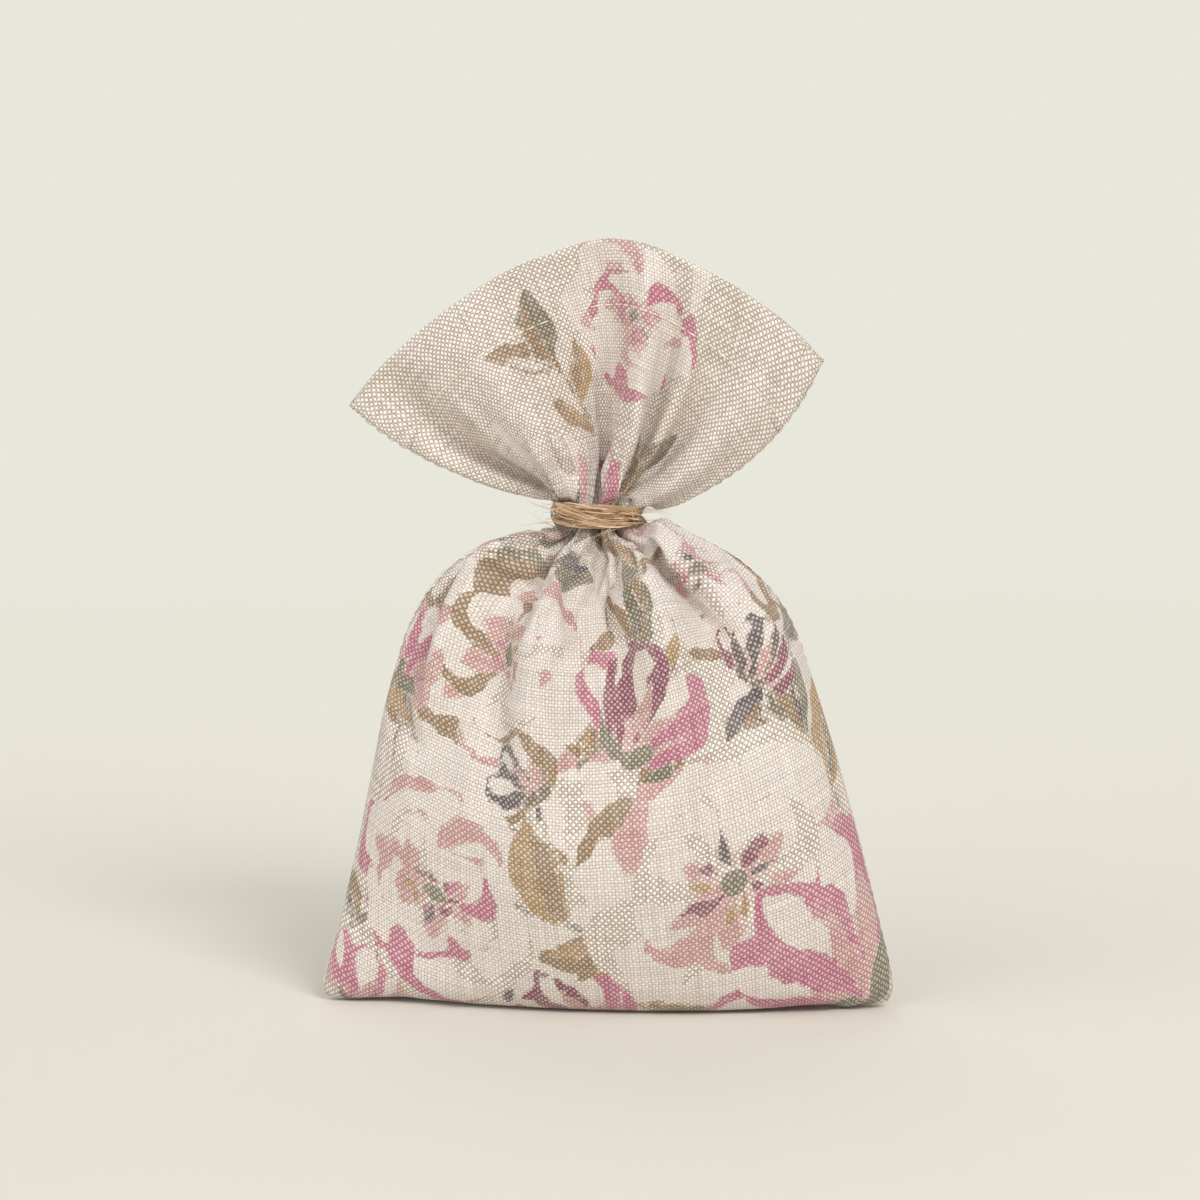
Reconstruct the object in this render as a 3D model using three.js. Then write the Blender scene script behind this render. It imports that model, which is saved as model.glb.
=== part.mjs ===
// A small scented pouch: two cloth panels sewn into a bag, a filled inner sachet, and a jute twine tie.
// Millimetres, +Z up. The origin is on the floor under the middle of the foot, and the front faces -Y.
import * as THREE from "three";

// Body of the bag
const footWidth = 105; // across the bottom, where the sloping sides would meet the floor
const footDepth = 26; // front to back at the floor, before its edge is rounded
const bellyDepth = 46; // front to back where the bag is fullest
const bellyHeight = 42; // floor to where it is fullest
const shoulderWidth = 73.5; // across, where the shoulders start to close
const shoulderHeight = 63; // floor to the start of the shoulders, seen from the front
const shoulderPower = 2.2; // roundness of the shoulders seen from the front: 2 is an ellipse, more is squarer
const shoulderRise = 50; // floor to the start of the shoulders, seen from the side
const middleSwell = 0.6; // how far the body swells to the right between the foot and the neck
const cornerRound = 5; // how far the bottom corners are rounded in
const edgeRound = 3; // how far the front and back edges of the foot are rounded in
const roundHeight = 7; // height of that rounding
const cornerThickness = 0.9; // the flattened corner, one panel

// Neck and ruffle
const neckHeight = 87.5; // floor to the middle of the tie
const neckOffset = -2.3; // the neck stands this far to the left of the foot's middle
const neckWidth = 12.4; // side to side of the gathered cloth
const neckDepth = 11.4; // front to back of the gathered cloth
const ruffleLength = 45.5; // top of the neck to the hemmed edge
const leftFlare = 93; // the ruffle's left edge close above the neck, in degrees from upright
const leftSpread = 70.5; // and at the hemmed edge
const rightFlare = 109;
const rightSpread = 59;
const mostFlare = 90; // neither edge hangs lower than this
const flareLength = 10; // the neck opens into the ruffle over this length
const ruffleGap = 2.2; // how much further the two panels stand apart where the ruffle leaves the neck
const gapReach = 12; // over about this length

// Cloth, folds and seams
const clothThickness = 0.6;
const hemWidth = 11; // cloth turned in at the mouth
const foldDepth = 7; // deepest crease below the tie
const foldReach = 13; // distance from the tie to the deepest point of the creases
const ruffleFold = 11; // front to back, from ridge to valley where the ruffle's folds are deepest
const ruffleReach = 12; // distance above the neck over which they deepen
const leftBroad = -0.45; // the broad left and right parts of the ruffle's edge, from -1 to 1 across the panel
const rightBroad = 0.6;
const broadWidth = 0.32;
const leftBow = 5.5; // how far those parts lean forward
const rightBow = 3.5;
const leftDip = 3; // and how much shorter the ruffle is there
const rightDip = 1;

// Folds across the front panel, as pairs: place from -1 at the left seam to 1 at the right one, and height
// from -1 in a valley to 1 on a ridge. In the ruffle both panels share them, and in the body the back panel
// has a ridge where the front one has a valley.
const ruffleFolds = [
  [-1, 0], [-0.93, 0.35], [-0.83, -1], [-0.68, 0.5], [-0.45, 1], [-0.22, -0.8], [0.06, -0.9],
  [0.25, 0.9], [0.37, -0.6], [0.46, 0.2], [0.58, -0.8], [0.8, 0.9], [0.95, 0.4], [1, 0],
];
const bodyFolds = [
  [-1, 0], [-0.86, -0.5], [-0.67, 1], [-0.46, -1], [-0.2, 0.8], [0.08, -0.9], [0.36, 1],
  [0.54, -1], [0.78, 0.9], [1, 0],
];
const threadDiameter = 0.4;
const clearance = 0.3; // between pieces that touch

// Twine tie
const twineDiameter = 1.3;
const twineTurns = 3;
const turnGap = 0.42; // between neighbouring turns
const knotLength = 8; // side to side, over which the two ends are twisted together
const knotTwists = 1;
const knotGap = 0.7; // between the two strands in the knot
const twineEnd = 10; // length of each cut end past the knot
const endSpread = 0.55; // a cut end leans to its side, and away from the bag, by this share of its length
const endDrop = 0.75; // and its tip hangs down by this share

// Inner sachet and its filling
const sachetInset = 3.2; // outside of the bag to the sachet
const sachetBottom = 1.4; // floor to the sachet's lower seal
const sachetTop = 66; // floor to the sachet's upper seal
const sachetThickness = 0.3;
const sealWidth = 0.86; // the sealed ends are this share of the width at the same height

// Mesh fineness
const columns = 28; // across each panel
const footRows = 3;
const roundRows = 3;
const wallRows = 15;
const neckRows = 2;
const ruffleRows = 9;
const hemRows = 2;
const sachetColumns = 14;
const sachetRows = 14;
const threadSides = 5;
const twineSides = 6;
const stepsPerTurn = 24;

const FRONT = -1;
const BACK = 1;
const panelPlane = threadDiameter / 2 + clearance; // the seam thread lies between the two panels
const sachetPlane = clearance / 2;
const twineRadius = twineDiameter / 2;
const turnPitch = twineDiameter + turnGap;
const neckLength = turnPitch * (twineTurns - 0.5) + twineDiameter + 2 * clearance;
const neckBottom = neckHeight - neckLength / 2;
const neckTop = neckHeight + neckLength / 2;
const bodyRows = footRows + roundRows + wallRows;

const { cos, sin, sqrt, min, max, exp, PI } = Math;
const { clamp, degToRad, lerp, smoothstep } = THREE.MathUtils;
const point = (x, y, z) => new THREE.Vector3(x, y, z);
const quarterRound = (t) => sqrt(1 - clamp(t, 0, 1) ** 2); // 1 at t = 0 with no slope, and 0 at t = 1

// The bag's level section at height z: half width, half depth, middle, and how pointed its ends are
function sectionAt(z) {
  const rounding = 1 - quarterRound(1 - z / roundHeight);
  const taper = lerp(footWidth / 2, shoulderWidth / 2, z / shoulderHeight);
  const closed = clamp((z - shoulderHeight) / (neckBottom - shoulderHeight), 0, 1);
  const closing = (1 - closed ** shoulderPower) ** (1 / shoulderPower);
  const halfWidth = lerp(neckWidth / 2, taper, closing) - cornerRound * rounding;

  const fullness = sin((PI / 2) * clamp(z / bellyHeight, 0, 1));
  const belly = lerp(footDepth / 2, bellyDepth / 2, fullness);
  const narrowing = quarterRound((z - shoulderRise) / (neckBottom - shoulderRise));
  const halfDepth = lerp(neckDepth / 2, belly, narrowing) - edgeRound * rounding;

  const height = clamp(z / neckBottom, 0, 1);
  const middle = neckOffset * smoothstep(height, 0, 1) + middleSwell * sin(PI * height);
  const pointed = 1 + 0.6 * clamp(1 - z / bellyHeight, 0, 1) ** 2;
  return { halfWidth, halfDepth, middle, pointed, rounding };
}

// A point on one side of that section: s runs from -1 at the left seam to 1 at the right one
function onSection(s, side, z) {
  const { halfWidth, halfDepth, middle, pointed, rounding } = sectionAt(z);
  const turn = (s * PI) / 2;
  const edge = panelPlane + cornerThickness * rounding;
  const forward = edge + (halfDepth - edge) * cos(turn) ** pointed;
  return point(middle + halfWidth * sin(turn), side * forward, z);
}

// The same line with count + 1 points at even distances
function evenly(line, count) {
  const path = new THREE.CurvePath();
  for (let k = 1; k < line.length; k++) path.add(new THREE.LineCurve3(line[k - 1], line[k]));
  return path.getSpacedPoints(count);
}

// The wall's rise between two heights, finely sampled towards both ends
function rise(s, side, from, to) {
  const samples = 40;
  const share = (k) => (1 - cos((PI * k) / samples)) / 2;
  return Array.from({ length: samples + 1 }, (_, k) => onSection(s, side, lerp(from, to, share(k))));
}

// One column of the body: along the floor from the bottom seam, round the foot's edge, then up to the neck
function bodyColumn(s, side) {
  const edge = onSection(s, side, 0);
  const seam = point(edge.x, side * panelPlane, 0);
  const floor = evenly([seam, edge], footRows).slice(0, -1);
  const turn = evenly(rise(s, side, 0, roundHeight), roundRows).slice(0, -1);
  return [...floor, ...turn, ...evenly(rise(s, side, roundHeight, neckBottom), wallRows)];
}

// A point of the gathered neck
function onNeck(s, side, z) {
  const turn = (s * PI) / 2;
  const forward = panelPlane + (neckDepth / 2 - panelPlane) * cos(turn);
  return point(neckOffset + (neckWidth / 2) * sin(turn), side * forward, z);
}

// Thickness of the ruffle: double where the hem is turned in
const wallAt = (reach) => clothThickness * (reach > ruffleLength - hemWidth ? 2 : 1);

// The height of a list of folds at s, with a smooth rise and fall between its points
function foldLine(table, s) {
  const next = table.findIndex(([place]) => place > s);
  if (next < 0) return table[table.length - 1][1];
  const [from, low] = table[next - 1];
  const [to, high] = table[next];
  return lerp(low, high, 0.5 - 0.5 * cos((PI * (s - from)) / (to - from)));
}

// A smooth hump of height 1 in the middle and about a third of it at one width to either side
const hump = (s, middle, width) => exp(-(((s - middle) / width) ** 2));

// How far the ruffle's folds carry both panels back: negative is towards the front
function ruffleShift(s, reach) {
  const share = reach / ruffleLength;
  const height = ruffleFold * smoothstep(reach, 0, ruffleReach) * (1 - share ** 2);
  const bow = leftBow * hump(s, leftBroad, broadWidth) + rightBow * hump(s, rightBroad, broadWidth);
  return -((height / 2) * foldLine(ruffleFolds, s) + bow * share ** 1.5) * (1 - s ** 8);
}

// A point of the ruffle, reach millimetres above the neck
function onRuffle(s, side, reach) {
  const share = reach / ruffleLength;
  const left = min(mostFlare, lerp(leftFlare, leftSpread, share));
  const right = min(mostFlare, lerp(rightFlare, rightSpread, share ** 0.85));
  const angle = degToRad(lerp(-left, right, (s + 1) / 2));
  const dip = leftDip * hump(s, leftBroad, broadWidth) + rightDip * hump(s, rightBroad, broadWidth);
  const radius = reach - share * dip;
  const gap = panelPlane + wallAt(reach) + ruffleGap * exp(-reach / gapReach) * (1 - s ** 4);
  const x = neckOffset + radius * sin(angle);
  const open = point(x, ruffleShift(s, reach) + side * gap, neckTop + radius * cos(angle));
  return onNeck(s, side, neckTop).lerp(open, smoothstep(reach, 0, flareLength));
}

// Reach of each row of the ruffle, with one row on the hem's stitch line
function ruffleReaches() {
  const plain = ruffleLength - hemWidth;
  const rows = [];
  for (let k = 1; k <= ruffleRows; k++) rows.push((plain * k) / ruffleRows);
  for (let k = 1; k <= hemRows; k++) rows.push(plain + (hemWidth * k) / hemRows);
  return rows;
}

// Outward normals of a grid of points
function normalsOf(grid, side) {
  return grid.map((column, i) =>
    column.map((_, j) => {
      const left = grid[max(i - 1, 0)][j];
      const right = grid[min(i + 1, grid.length - 1)][j];
      const below = column[max(j - 1, 0)];
      const above = column[min(j + 1, column.length - 1)];
      const across = right.clone().sub(left);
      const up = above.clone().sub(below);
      return across.cross(up).multiplyScalar(-side).normalize();
    }),
  );
}

// Depth of the creases that run down from the tie
function creaseDepth(s, side, distance) {
  const t = distance / foldReach;
  return foldDepth * t * exp(1 - t) * (0.5 + 0.5 * side * foldLine(bodyFolds, s)) * (1 - s ** 6);
}

// Press the creases into the body's columns
function pressCreases(face, side) {
  const normals = normalsOf(face, side);
  face.forEach((column, i) => {
    const s = (2 * i) / columns - 1;
    for (let j = footRows + 1; j < bodyRows; j++) {
      const depth = creaseDepth(s, side, column[j].distanceTo(column[bodyRows]));
      column[j].addScaledVector(normals[i][j], -depth);
    }
  });
}

// The outer face of a panel, as columns of points from the bottom seam to the hemmed edge
function panelFace(side, reaches) {
  const face = [];
  for (let i = 0; i <= columns; i++) {
    const s = (2 * i) / columns - 1;
    const column = bodyColumn(s, side);
    for (let k = 1; k <= neckRows; k++) {
      column.push(onNeck(s, side, neckBottom + (neckLength * k) / neckRows));
    }
    for (const reach of reaches) column.push(onRuffle(s, side, reach));
    face.push(column);
  }
  pressCreases(face, side);
  return face;
}

// The inner face: one wall behind the outer one, and closed up where the pleats are packed in the neck
function panelLining(face, normals, side, reaches) {
  const ruffleStart = bodyRows + neckRows + 1;
  return face.map((column, i) => {
    const s = (2 * i) / columns - 1;
    return column.map((p, j) => {
      const back = p.clone();
      let shift = 0;
      if (j < ruffleStart) {
        back.addScaledVector(normals[i][j], -clothThickness);
        const below = max(0, neckBottom - p.z) / neckDepth + (bodyRows - min(j, bodyRows)) / 4;
        const packing = exp(-4 * below ** 2);
        back.lerp(point(lerp(neckOffset, p.x, 0.4), side * panelPlane, p.z), packing);
      } else {
        const reach = reaches[j - ruffleStart];
        const slope = max(0.5, side * normals[i][j].y);
        back.y -= (side * wallAt(reach)) / slope;
        shift = ruffleShift(s, reach) * smoothstep(reach, 0, flareLength);
      }
      back.y = shift + side * max(side * (back.y - shift), panelPlane);
      return back;
    });
  });
}

function panel(side) {
  const reaches = ruffleReaches();
  const outer = panelFace(side, reaches);
  const normals = normalsOf(outer, side);
  return { outer, normals, inner: panelLining(outer, normals, side, reaches) };
}

// A closed solid between two grids of points, the first of which faces out
function solidBetween(outer, inner, side) {
  const wide = outer.length;
  const tall = outer[0].length;
  const positions = [...outer.flat(), ...inner.flat()].flatMap((p) => [p.x, p.y, p.z]);
  const at = (layer, i, j) => (layer * wide + i) * tall + j;
  const faces = [];
  const quad = (a, b, c, d) => {
    if (side === FRONT) faces.push(a, b, c, a, c, d);
    else faces.push(a, c, b, a, d, c);
  };
  for (let i = 0; i + 1 < wide; i++) {
    for (let j = 0; j + 1 < tall; j++) {
      quad(at(0, i, j), at(0, i + 1, j), at(0, i + 1, j + 1), at(0, i, j + 1));
      quad(at(1, i, j), at(1, i, j + 1), at(1, i + 1, j + 1), at(1, i + 1, j));
    }
    quad(at(1, i, 0), at(1, i + 1, 0), at(0, i + 1, 0), at(0, i, 0));
    quad(at(0, i, tall - 1), at(0, i + 1, tall - 1), at(1, i + 1, tall - 1), at(1, i, tall - 1));
  }
  const last = wide - 1;
  for (let j = 0; j + 1 < tall; j++) {
    quad(at(0, 0, j), at(0, 0, j + 1), at(1, 0, j + 1), at(1, 0, j));
    quad(at(1, last, j), at(1, last, j + 1), at(0, last, j + 1), at(0, last, j));
  }
  const geometry = new THREE.BufferGeometry();
  geometry.setAttribute("position", new THREE.Float32BufferAttribute(positions, 3));
  geometry.setIndex(faces);
  geometry.computeVertexNormals();
  return geometry;
}

// A face of the pillow-shaped sachet: inset from the bag's outside, and pressed to a plane at the sealed ends
function pillowFace(side, inset, plane) {
  const step = inset - sachetInset;
  const face = [];
  for (let i = 0; i <= sachetColumns; i++) {
    const column = [];
    for (let j = 0; j <= sachetRows; j++) {
      const share = (1 - cos((PI * j) / sachetRows)) / 2;
      const z = lerp(sachetBottom + step, sachetTop - step, share);
      const puff = sin(PI * share) ** 0.6;
      const { halfWidth, halfDepth, middle, pointed } = sectionAt(z);
      const s = (2 * i) / sachetColumns - 1;
      const turn = (s * PI) / 2;
      const reach = (halfWidth - inset) * lerp(sealWidth, 1, puff);
      const crease = creaseDepth(s, side, neckBottom - z);
      const forward = plane + max(0, (halfDepth - inset - plane) * cos(turn) ** pointed - crease) * puff;
      column.push(point(middle + reach * sin(turn), side * forward, z));
    }
    face.push(column);
  }
  return face;
}

// Half of the sachet's non-woven bag
function sachetHalf(side) {
  const outer = pillowFace(side, sachetInset, sachetPlane + sachetThickness);
  const inner = pillowFace(side, sachetInset + sachetThickness, sachetPlane);
  return solidBetween(outer, inner, side);
}

// The granules, as the one body that they fill
function filling() {
  const inset = sachetInset + sachetThickness + clearance;
  return solidBetween(pillowFace(FRONT, inset, sachetPlane), pillowFace(BACK, inset, sachetPlane), FRONT);
}

// A round thread or twine along a smooth curve
function tube(curve, radius, sides, steps) {
  const ring = new THREE.Shape();
  for (let k = 0; k < sides; k++) {
    const turn = (2 * PI * k) / sides;
    ring[k ? "lineTo" : "moveTo"](radius * cos(turn), radius * sin(turn));
  }
  ring.closePath();
  return new THREE.ExtrudeGeometry(ring, { steps, extrudePath: curve, curveSegments: 1 });
}

const smoothCurve = (line) => new THREE.CatmullRomCurve3(line, false, "centripetal");
const seamThread = (line, steps) => tube(smoothCurve(line), threadDiameter / 2, threadSides, steps);

// The thread of a side seam, between the edges of the two panels: end is -1 on the left and 1 on the right
function sideSeam({ outer, inner }, end) {
  const i = end < 0 ? 0 : columns;
  const line = outer[i].map((p, j) => p.clone().lerp(inner[i][j], 0.5).setY(0));
  for (let j = bodyRows; j < line.length; j++) line[j].x -= end * threadDiameter;
  return seamThread(line.slice(footRows, -1), 60);
}

// The thread of the bottom seam
function bottomSeam({ outer, inner }) {
  const line = outer.map((column, i) => column[0].clone().lerp(inner[i][0], 0.5).setY(0));
  return seamThread(line.slice(1, -1), 30);
}

// The row of stitches that holds the hem down, on the outer face
function hemStitch({ outer, normals }) {
  const row = bodyRows + neckRows + ruffleRows;
  const proud = clearance + threadDiameter / 2;
  const line = outer.map((column, i) => column[row].clone().addScaledVector(normals[i][row], proud));
  return seamThread(line.slice(1, -1), 40);
}

// The twine's middle line: a cut end, the knot, the turns round the neck, the knot again, the other cut end
function twineLine() {
  const acrossRadius = neckWidth / 2 + clearance + twineRadius;
  const alongRadius = neckDepth / 2 + clearance + twineRadius;
  const knotRadius = (twineDiameter + knotGap) / 2;
  const knotY = alongRadius + turnPitch + knotRadius;
  const half = knotLength / 2;

  const inKnot = (u, strand) => {
    const turned = 2 * PI * knotTwists * u;
    const y = knotY + strand * knotRadius * sin(turned);
    const z = neckHeight - strand * knotRadius * cos(turned);
    return point(neckOffset + lerp(-half, half, u), y, z);
  };
  const cutEnd = (strand) => {
    const root = inKnot(strand > 0 ? 1 : 0, strand);
    const away = (t) => point(endSpread * strand * t, endSpread * t, -endDrop * t ** 2);
    return [0.3, 0.6, 0.85, 1].map((t) => root.clone().addScaledVector(away(t), twineEnd));
  };
  const knotSteps = 8;
  const knot = (strand) => Array.from({ length: knotSteps + 1 }, (_, k) => inKnot(k / knotSteps, strand));

  const leave = PI / 4; // the turns leave the neck for the knot this far before the middle of the back
  const rideOut = leave + 0.9; // and stand off from the turn beside them from here
  const total = 2 * PI * twineTurns;
  const turns = [];
  const steps = stepsPerTurn * twineTurns;
  for (let k = 0; k <= steps; k++) {
    const turned = lerp(leave, total - leave, k / steps);
    const angle = PI / 2 + turned;
    const out = turnPitch * (1 - smoothstep(min(turned, total - turned), leave, rideOut));
    const z = neckHeight + turnPitch * (turned / (2 * PI) - twineTurns / 2);
    turns.push(point(neckOffset + (acrossRadius + out) * cos(angle), (alongRadius + out) * sin(angle), z));
  }
  return [...cutEnd(1).reverse(), ...knot(1).reverse(), ...turns, ...knot(-1).reverse(), ...cutEnd(-1)];
}

// Least distance between the surfaces of two stretches of the twine that are not neighbours along it
function leastGap(curve) {
  const samples = 900;
  const points = curve.getSpacedPoints(samples);
  const spacing = curve.getLength() / samples;
  const skip = Math.ceil((2.5 * twineDiameter) / spacing);
  let least = Infinity;
  points.forEach((p, i) => {
    for (let k = i + skip; k < points.length; k++) least = min(least, p.distanceTo(points[k]));
  });
  return least - twineDiameter;
}

const group = new THREE.Group();

function add(name, geometry, color, roughness) {
  const mesh = new THREE.Mesh(geometry, new THREE.MeshStandardMaterial({ color, roughness, metalness: 0 }));
  mesh.name = name;
  group.add(mesh);
}

const linen = 0xd3c7b6;
const seamWhite = 0xe9e0cf;
const front = panel(FRONT);
const back = panel(BACK);
add("front_panel", solidBetween(front.outer, front.inner, FRONT), linen, 0.9);
add("back_panel", solidBetween(back.outer, back.inner, BACK), linen, 0.9);
add("side_seam_thread_left", sideSeam(front, -1), seamWhite, 0.8);
add("side_seam_thread_right", sideSeam(front, 1), seamWhite, 0.8);
add("bottom_seam_thread", bottomSeam(front), seamWhite, 0.8);
add("hem_thread_front", hemStitch(front), seamWhite, 0.8);
add("hem_thread_back", hemStitch(back), seamWhite, 0.8);

const twine = smoothCurve(twineLine());
console.log(`twine_tie: ${twine.getLength().toFixed(0)} mm long, least gap ${leastGap(twine).toFixed(2)} mm`);
add("twine_tie", tube(twine, twineRadius, twineSides, 150), 0xb08a5b, 0.95);

add("inner_bag_front", sachetHalf(FRONT), 0xf1efe9, 0.85);
add("inner_bag_back", sachetHalf(BACK), 0xf1efe9, 0.85);
add("scent_fill", filling(), 0xc9b79a, 0.95);

export default group;
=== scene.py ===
import math
import random
import time

import bmesh
import bpy
import numpy as np
from mathutils import Matrix, Vector
from mathutils.bvhtree import BVHTree


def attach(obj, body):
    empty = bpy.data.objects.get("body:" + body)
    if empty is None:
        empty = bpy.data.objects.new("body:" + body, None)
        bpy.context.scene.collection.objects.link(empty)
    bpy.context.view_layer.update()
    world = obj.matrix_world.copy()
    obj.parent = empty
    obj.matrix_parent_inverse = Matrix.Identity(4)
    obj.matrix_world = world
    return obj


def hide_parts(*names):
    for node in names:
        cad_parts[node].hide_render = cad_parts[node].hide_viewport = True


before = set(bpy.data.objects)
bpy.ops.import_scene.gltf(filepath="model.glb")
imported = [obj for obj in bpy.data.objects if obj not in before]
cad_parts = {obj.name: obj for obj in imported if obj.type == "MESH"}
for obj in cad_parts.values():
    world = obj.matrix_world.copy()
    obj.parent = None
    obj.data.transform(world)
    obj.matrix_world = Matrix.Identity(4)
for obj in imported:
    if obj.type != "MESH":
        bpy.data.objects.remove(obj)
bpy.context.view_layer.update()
mm = 0.001
neckMiddle = -2.3          # the neck's middle across, mm
tieHeight = 87.5           # floor to the middle of the tie, mm

# Camera: a long lens, a little to the right of the pouch and above it
camera = {
    "frameSize": 1200,      # pixels of the photograph, both ways
    "pixel": 0.1767,        # mm on the object for one of them
    "tiePixel": (597, 513),
    "azimuth": 7.0,
    "elevation": 6.0,
    "lens": 105.0,
    "sensor": 36.0,
    "clipStart": 0.01,      # m
    "clipEnd": 20,
}


def direction(azimuth, elevation):
    a, e = math.radians(azimuth), math.radians(elevation)
    return Vector((math.sin(a) * math.cos(e), -math.cos(a) * math.cos(e), math.sin(e)))


def makeCamera():
    data = bpy.data.cameras.new("camera")
    data.lens = camera["lens"]
    data.sensor_width = camera["sensor"]
    data.clip_start = camera["clipStart"]
    data.clip_end = camera["clipEnd"]
    eye = bpy.data.objects.new("camera", data)
    bpy.context.scene.collection.objects.link(eye)
    back = direction(camera["azimuth"], camera["elevation"])
    half = camera["frameSize"] / 2
    turn = math.radians(camera["azimuth"])
    right = Vector((math.cos(turn), math.sin(turn), 0))
    up = back.cross(right)
    tie = Vector((neckMiddle, 0, tieHeight))
    offX = (half - camera["tiePixel"][0]) * camera["pixel"]
    offY = (half - camera["tiePixel"][1]) * camera["pixel"]
    target = (tie + right * offX - up * offY) * mm
    away = camera["frameSize"] * camera["pixel"] * mm * camera["lens"] / camera["sensor"]
    eye.location = target + back * away
    eye.rotation_euler = (-back).to_track_quat("-Z", "Y").to_euler()
    bpy.context.scene.camera = eye


makeCamera()
print("camera made")


# Colours are written as sRGB hex
def linear(text):
    parts = [int(text[k:k + 2], 16) / 255 for k in (1, 3, 5)]
    return tuple(c / 12.92 if c <= 0.04045 else ((c + 0.055) / 1.055) ** 2.4 for c in parts) + (1.0,)


# Adds a shader node, sets it up, links what is given, and gives back one of its outputs
def addNode(tree, kind, inputs=None, out=0, **settings):
    node = tree.nodes.new("ShaderNode" + kind)
    for name, value in settings.items():
        setattr(node, name, value)
    for key, value in (inputs or {}).items():
        if isinstance(value, bpy.types.NodeSocket):
            tree.links.new(value, node.inputs[key])
        else:
            node.inputs[key].default_value = value
    return node.outputs[out] if node.outputs else node


def emptyMaterial(name):
    made = bpy.data.materials.new(name)
    made.use_nodes = True
    made.node_tree.nodes.clear()
    return made, made.node_tree


# Closes a material: a colour between two tones, a relief some mm deep with a strength, and how it takes light
def closeMaterial(tree, mix, tones, height, relief, looks):
    dark, pale = linear(tones[0]), linear(tones[1])
    colour = addNode(tree, "Mix", {0: mix, 6: dark, 7: pale}, out=2, data_type="RGBA")
    depth, strength = relief
    bump = addNode(tree, "Bump", {"Height": height, "Distance": depth * mm, "Strength": strength})
    shader = addNode(tree, "BsdfPrincipled", {"Base Color": colour, "Normal": bump, **looks})
    addNode(tree, "OutputMaterial", {"Surface": shader})


def smooth(t):
    t = np.clip(t, 0, 1)
    return t * t * (3 - 2 * t)


def lerp(a, b, t):
    return a + (b - a) * t


def quarterRound(t):
    return np.sqrt(1 - np.clip(t, 0, 1) ** 2)


# Distance along a line, at each of its points
def distances(line):
    return np.concatenate([[0], np.cumsum(np.linalg.norm(np.diff(line, axis=0), axis=1))])


def lineLength(line):
    return np.linalg.norm(np.diff(line, axis=0), axis=1).sum()


# What a line's points hold, read at the wanted distances along it
def readAlong(values, dist, want):
    return np.stack([np.interp(want, dist, values[:, c]) for c in range(3)], -1)


# Points at even distances along a line
def evenly(line, count):
    dist = distances(line)
    return readAlong(line, dist, np.linspace(0, dist[-1], count))


# A mesh made of what was built, which is let go
def meshFrom(bm, name):
    mesh = bpy.data.meshes.new(name)
    bm.to_mesh(mesh)
    bm.free()
    return mesh


# A mesh of an object as its modifiers leave it
def finishedMesh(thing):
    graph = bpy.context.evaluated_depsgraph_get()
    return bpy.data.meshes.new_from_object(thing.evaluated_get(graph))


def linkObject(name, mesh):
    made = bpy.data.objects.new(name, mesh)
    bpy.context.scene.collection.objects.link(made)
    return made


def smoothFaces(mesh):
    mesh.polygons.foreach_set("use_smooth", [True] * len(mesh.polygons))


def dress(piece, slot, *nodes):
    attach(piece, "root")
    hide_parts(*nodes)


# Light and floor
studio = {
    "air": 0.475,           # even light from all round
    "airColour": "#ffffff",
    "seenAir": "#e8e7db",   # what the camera sees past the floor
    "floorColour": "#e5e1d7",
    "floorTone": "#e0dcd1", # in soft patches
    "floorFront": -2.5,     # from the pouch's middle, m
    "floorBack": 1.1,
    "floorWidth": 6.0,
    "cove": 0.5,            # radius of the sweep up into the backdrop
    "coveSteps": 24,
    "wallHeight": 2.2,
    "glow": 0.12,           # makes the floor paler towards the back, for the camera alone
    "glowColour": "#f4fff1",
    "glowStart": -0.1,      # from the pouch's middle to the back, m
    "glowEnd": 0.42,
    "farStart": 0.25,       # the floor fades into what lies past it, between these distances, m
    "farEnd": 0.9,
    "aimHeight": 0.07,      # the lamps point at this height
    "keySize": 0.6,
    "keyWatts": 11.0,
    "keyPlace": (0.68, -0.9, 0.95),
    "fillSize": 1.5,
    "fillWatts": 8.2,
    "fillPlace": (-0.9, -0.95, 0.55),
    "backSize": 0.8,        # keeps the far side from going dull
    "backWatts": 2.4,
    "backPlace": (-0.3, 0.75, 1.2),
}


def makeStudio():
    scene = bpy.context.scene
    scene.view_settings.view_transform = "Standard"
    world = bpy.data.worlds.new("soft daylight")
    world.use_nodes = True
    tree = world.node_tree
    tree.nodes.clear()
    rays = addNode(tree, "LightPath").node.outputs
    seen = rays["Is Camera Ray"]
    for kind in ("Is Glossy Ray", "Is Transmission Ray"):
        seen = addNode(tree, "Math", {0: seen, 1: rays[kind]}, operation="MAXIMUM")
    air = addNode(tree, "Background", {"Color": linear(studio["airColour"]), "Strength": studio["air"]})
    backdrop = addNode(tree, "Background", {"Color": linear(studio["seenAir"])})
    both = addNode(tree, "MixShader", {0: seen, 1: air, 2: backdrop})
    addNode(tree, "OutputWorld", {"Surface": both})
    scene.world = world
    for name in ("key", "fill", "back"):
        data = bpy.data.lights.new(name, "AREA")
        data.size = studio[name + "Size"]
        data.energy = studio[name + "Watts"]
        lamp = bpy.data.objects.new(name, data)
        scene.collection.objects.link(lamp)
        lamp.location = studio[name + "Place"]
        aim = Vector((0, 0, studio["aimHeight"])) - lamp.location
        lamp.rotation_euler = aim.to_track_quat("-Z", "Y").to_euler()


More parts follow.
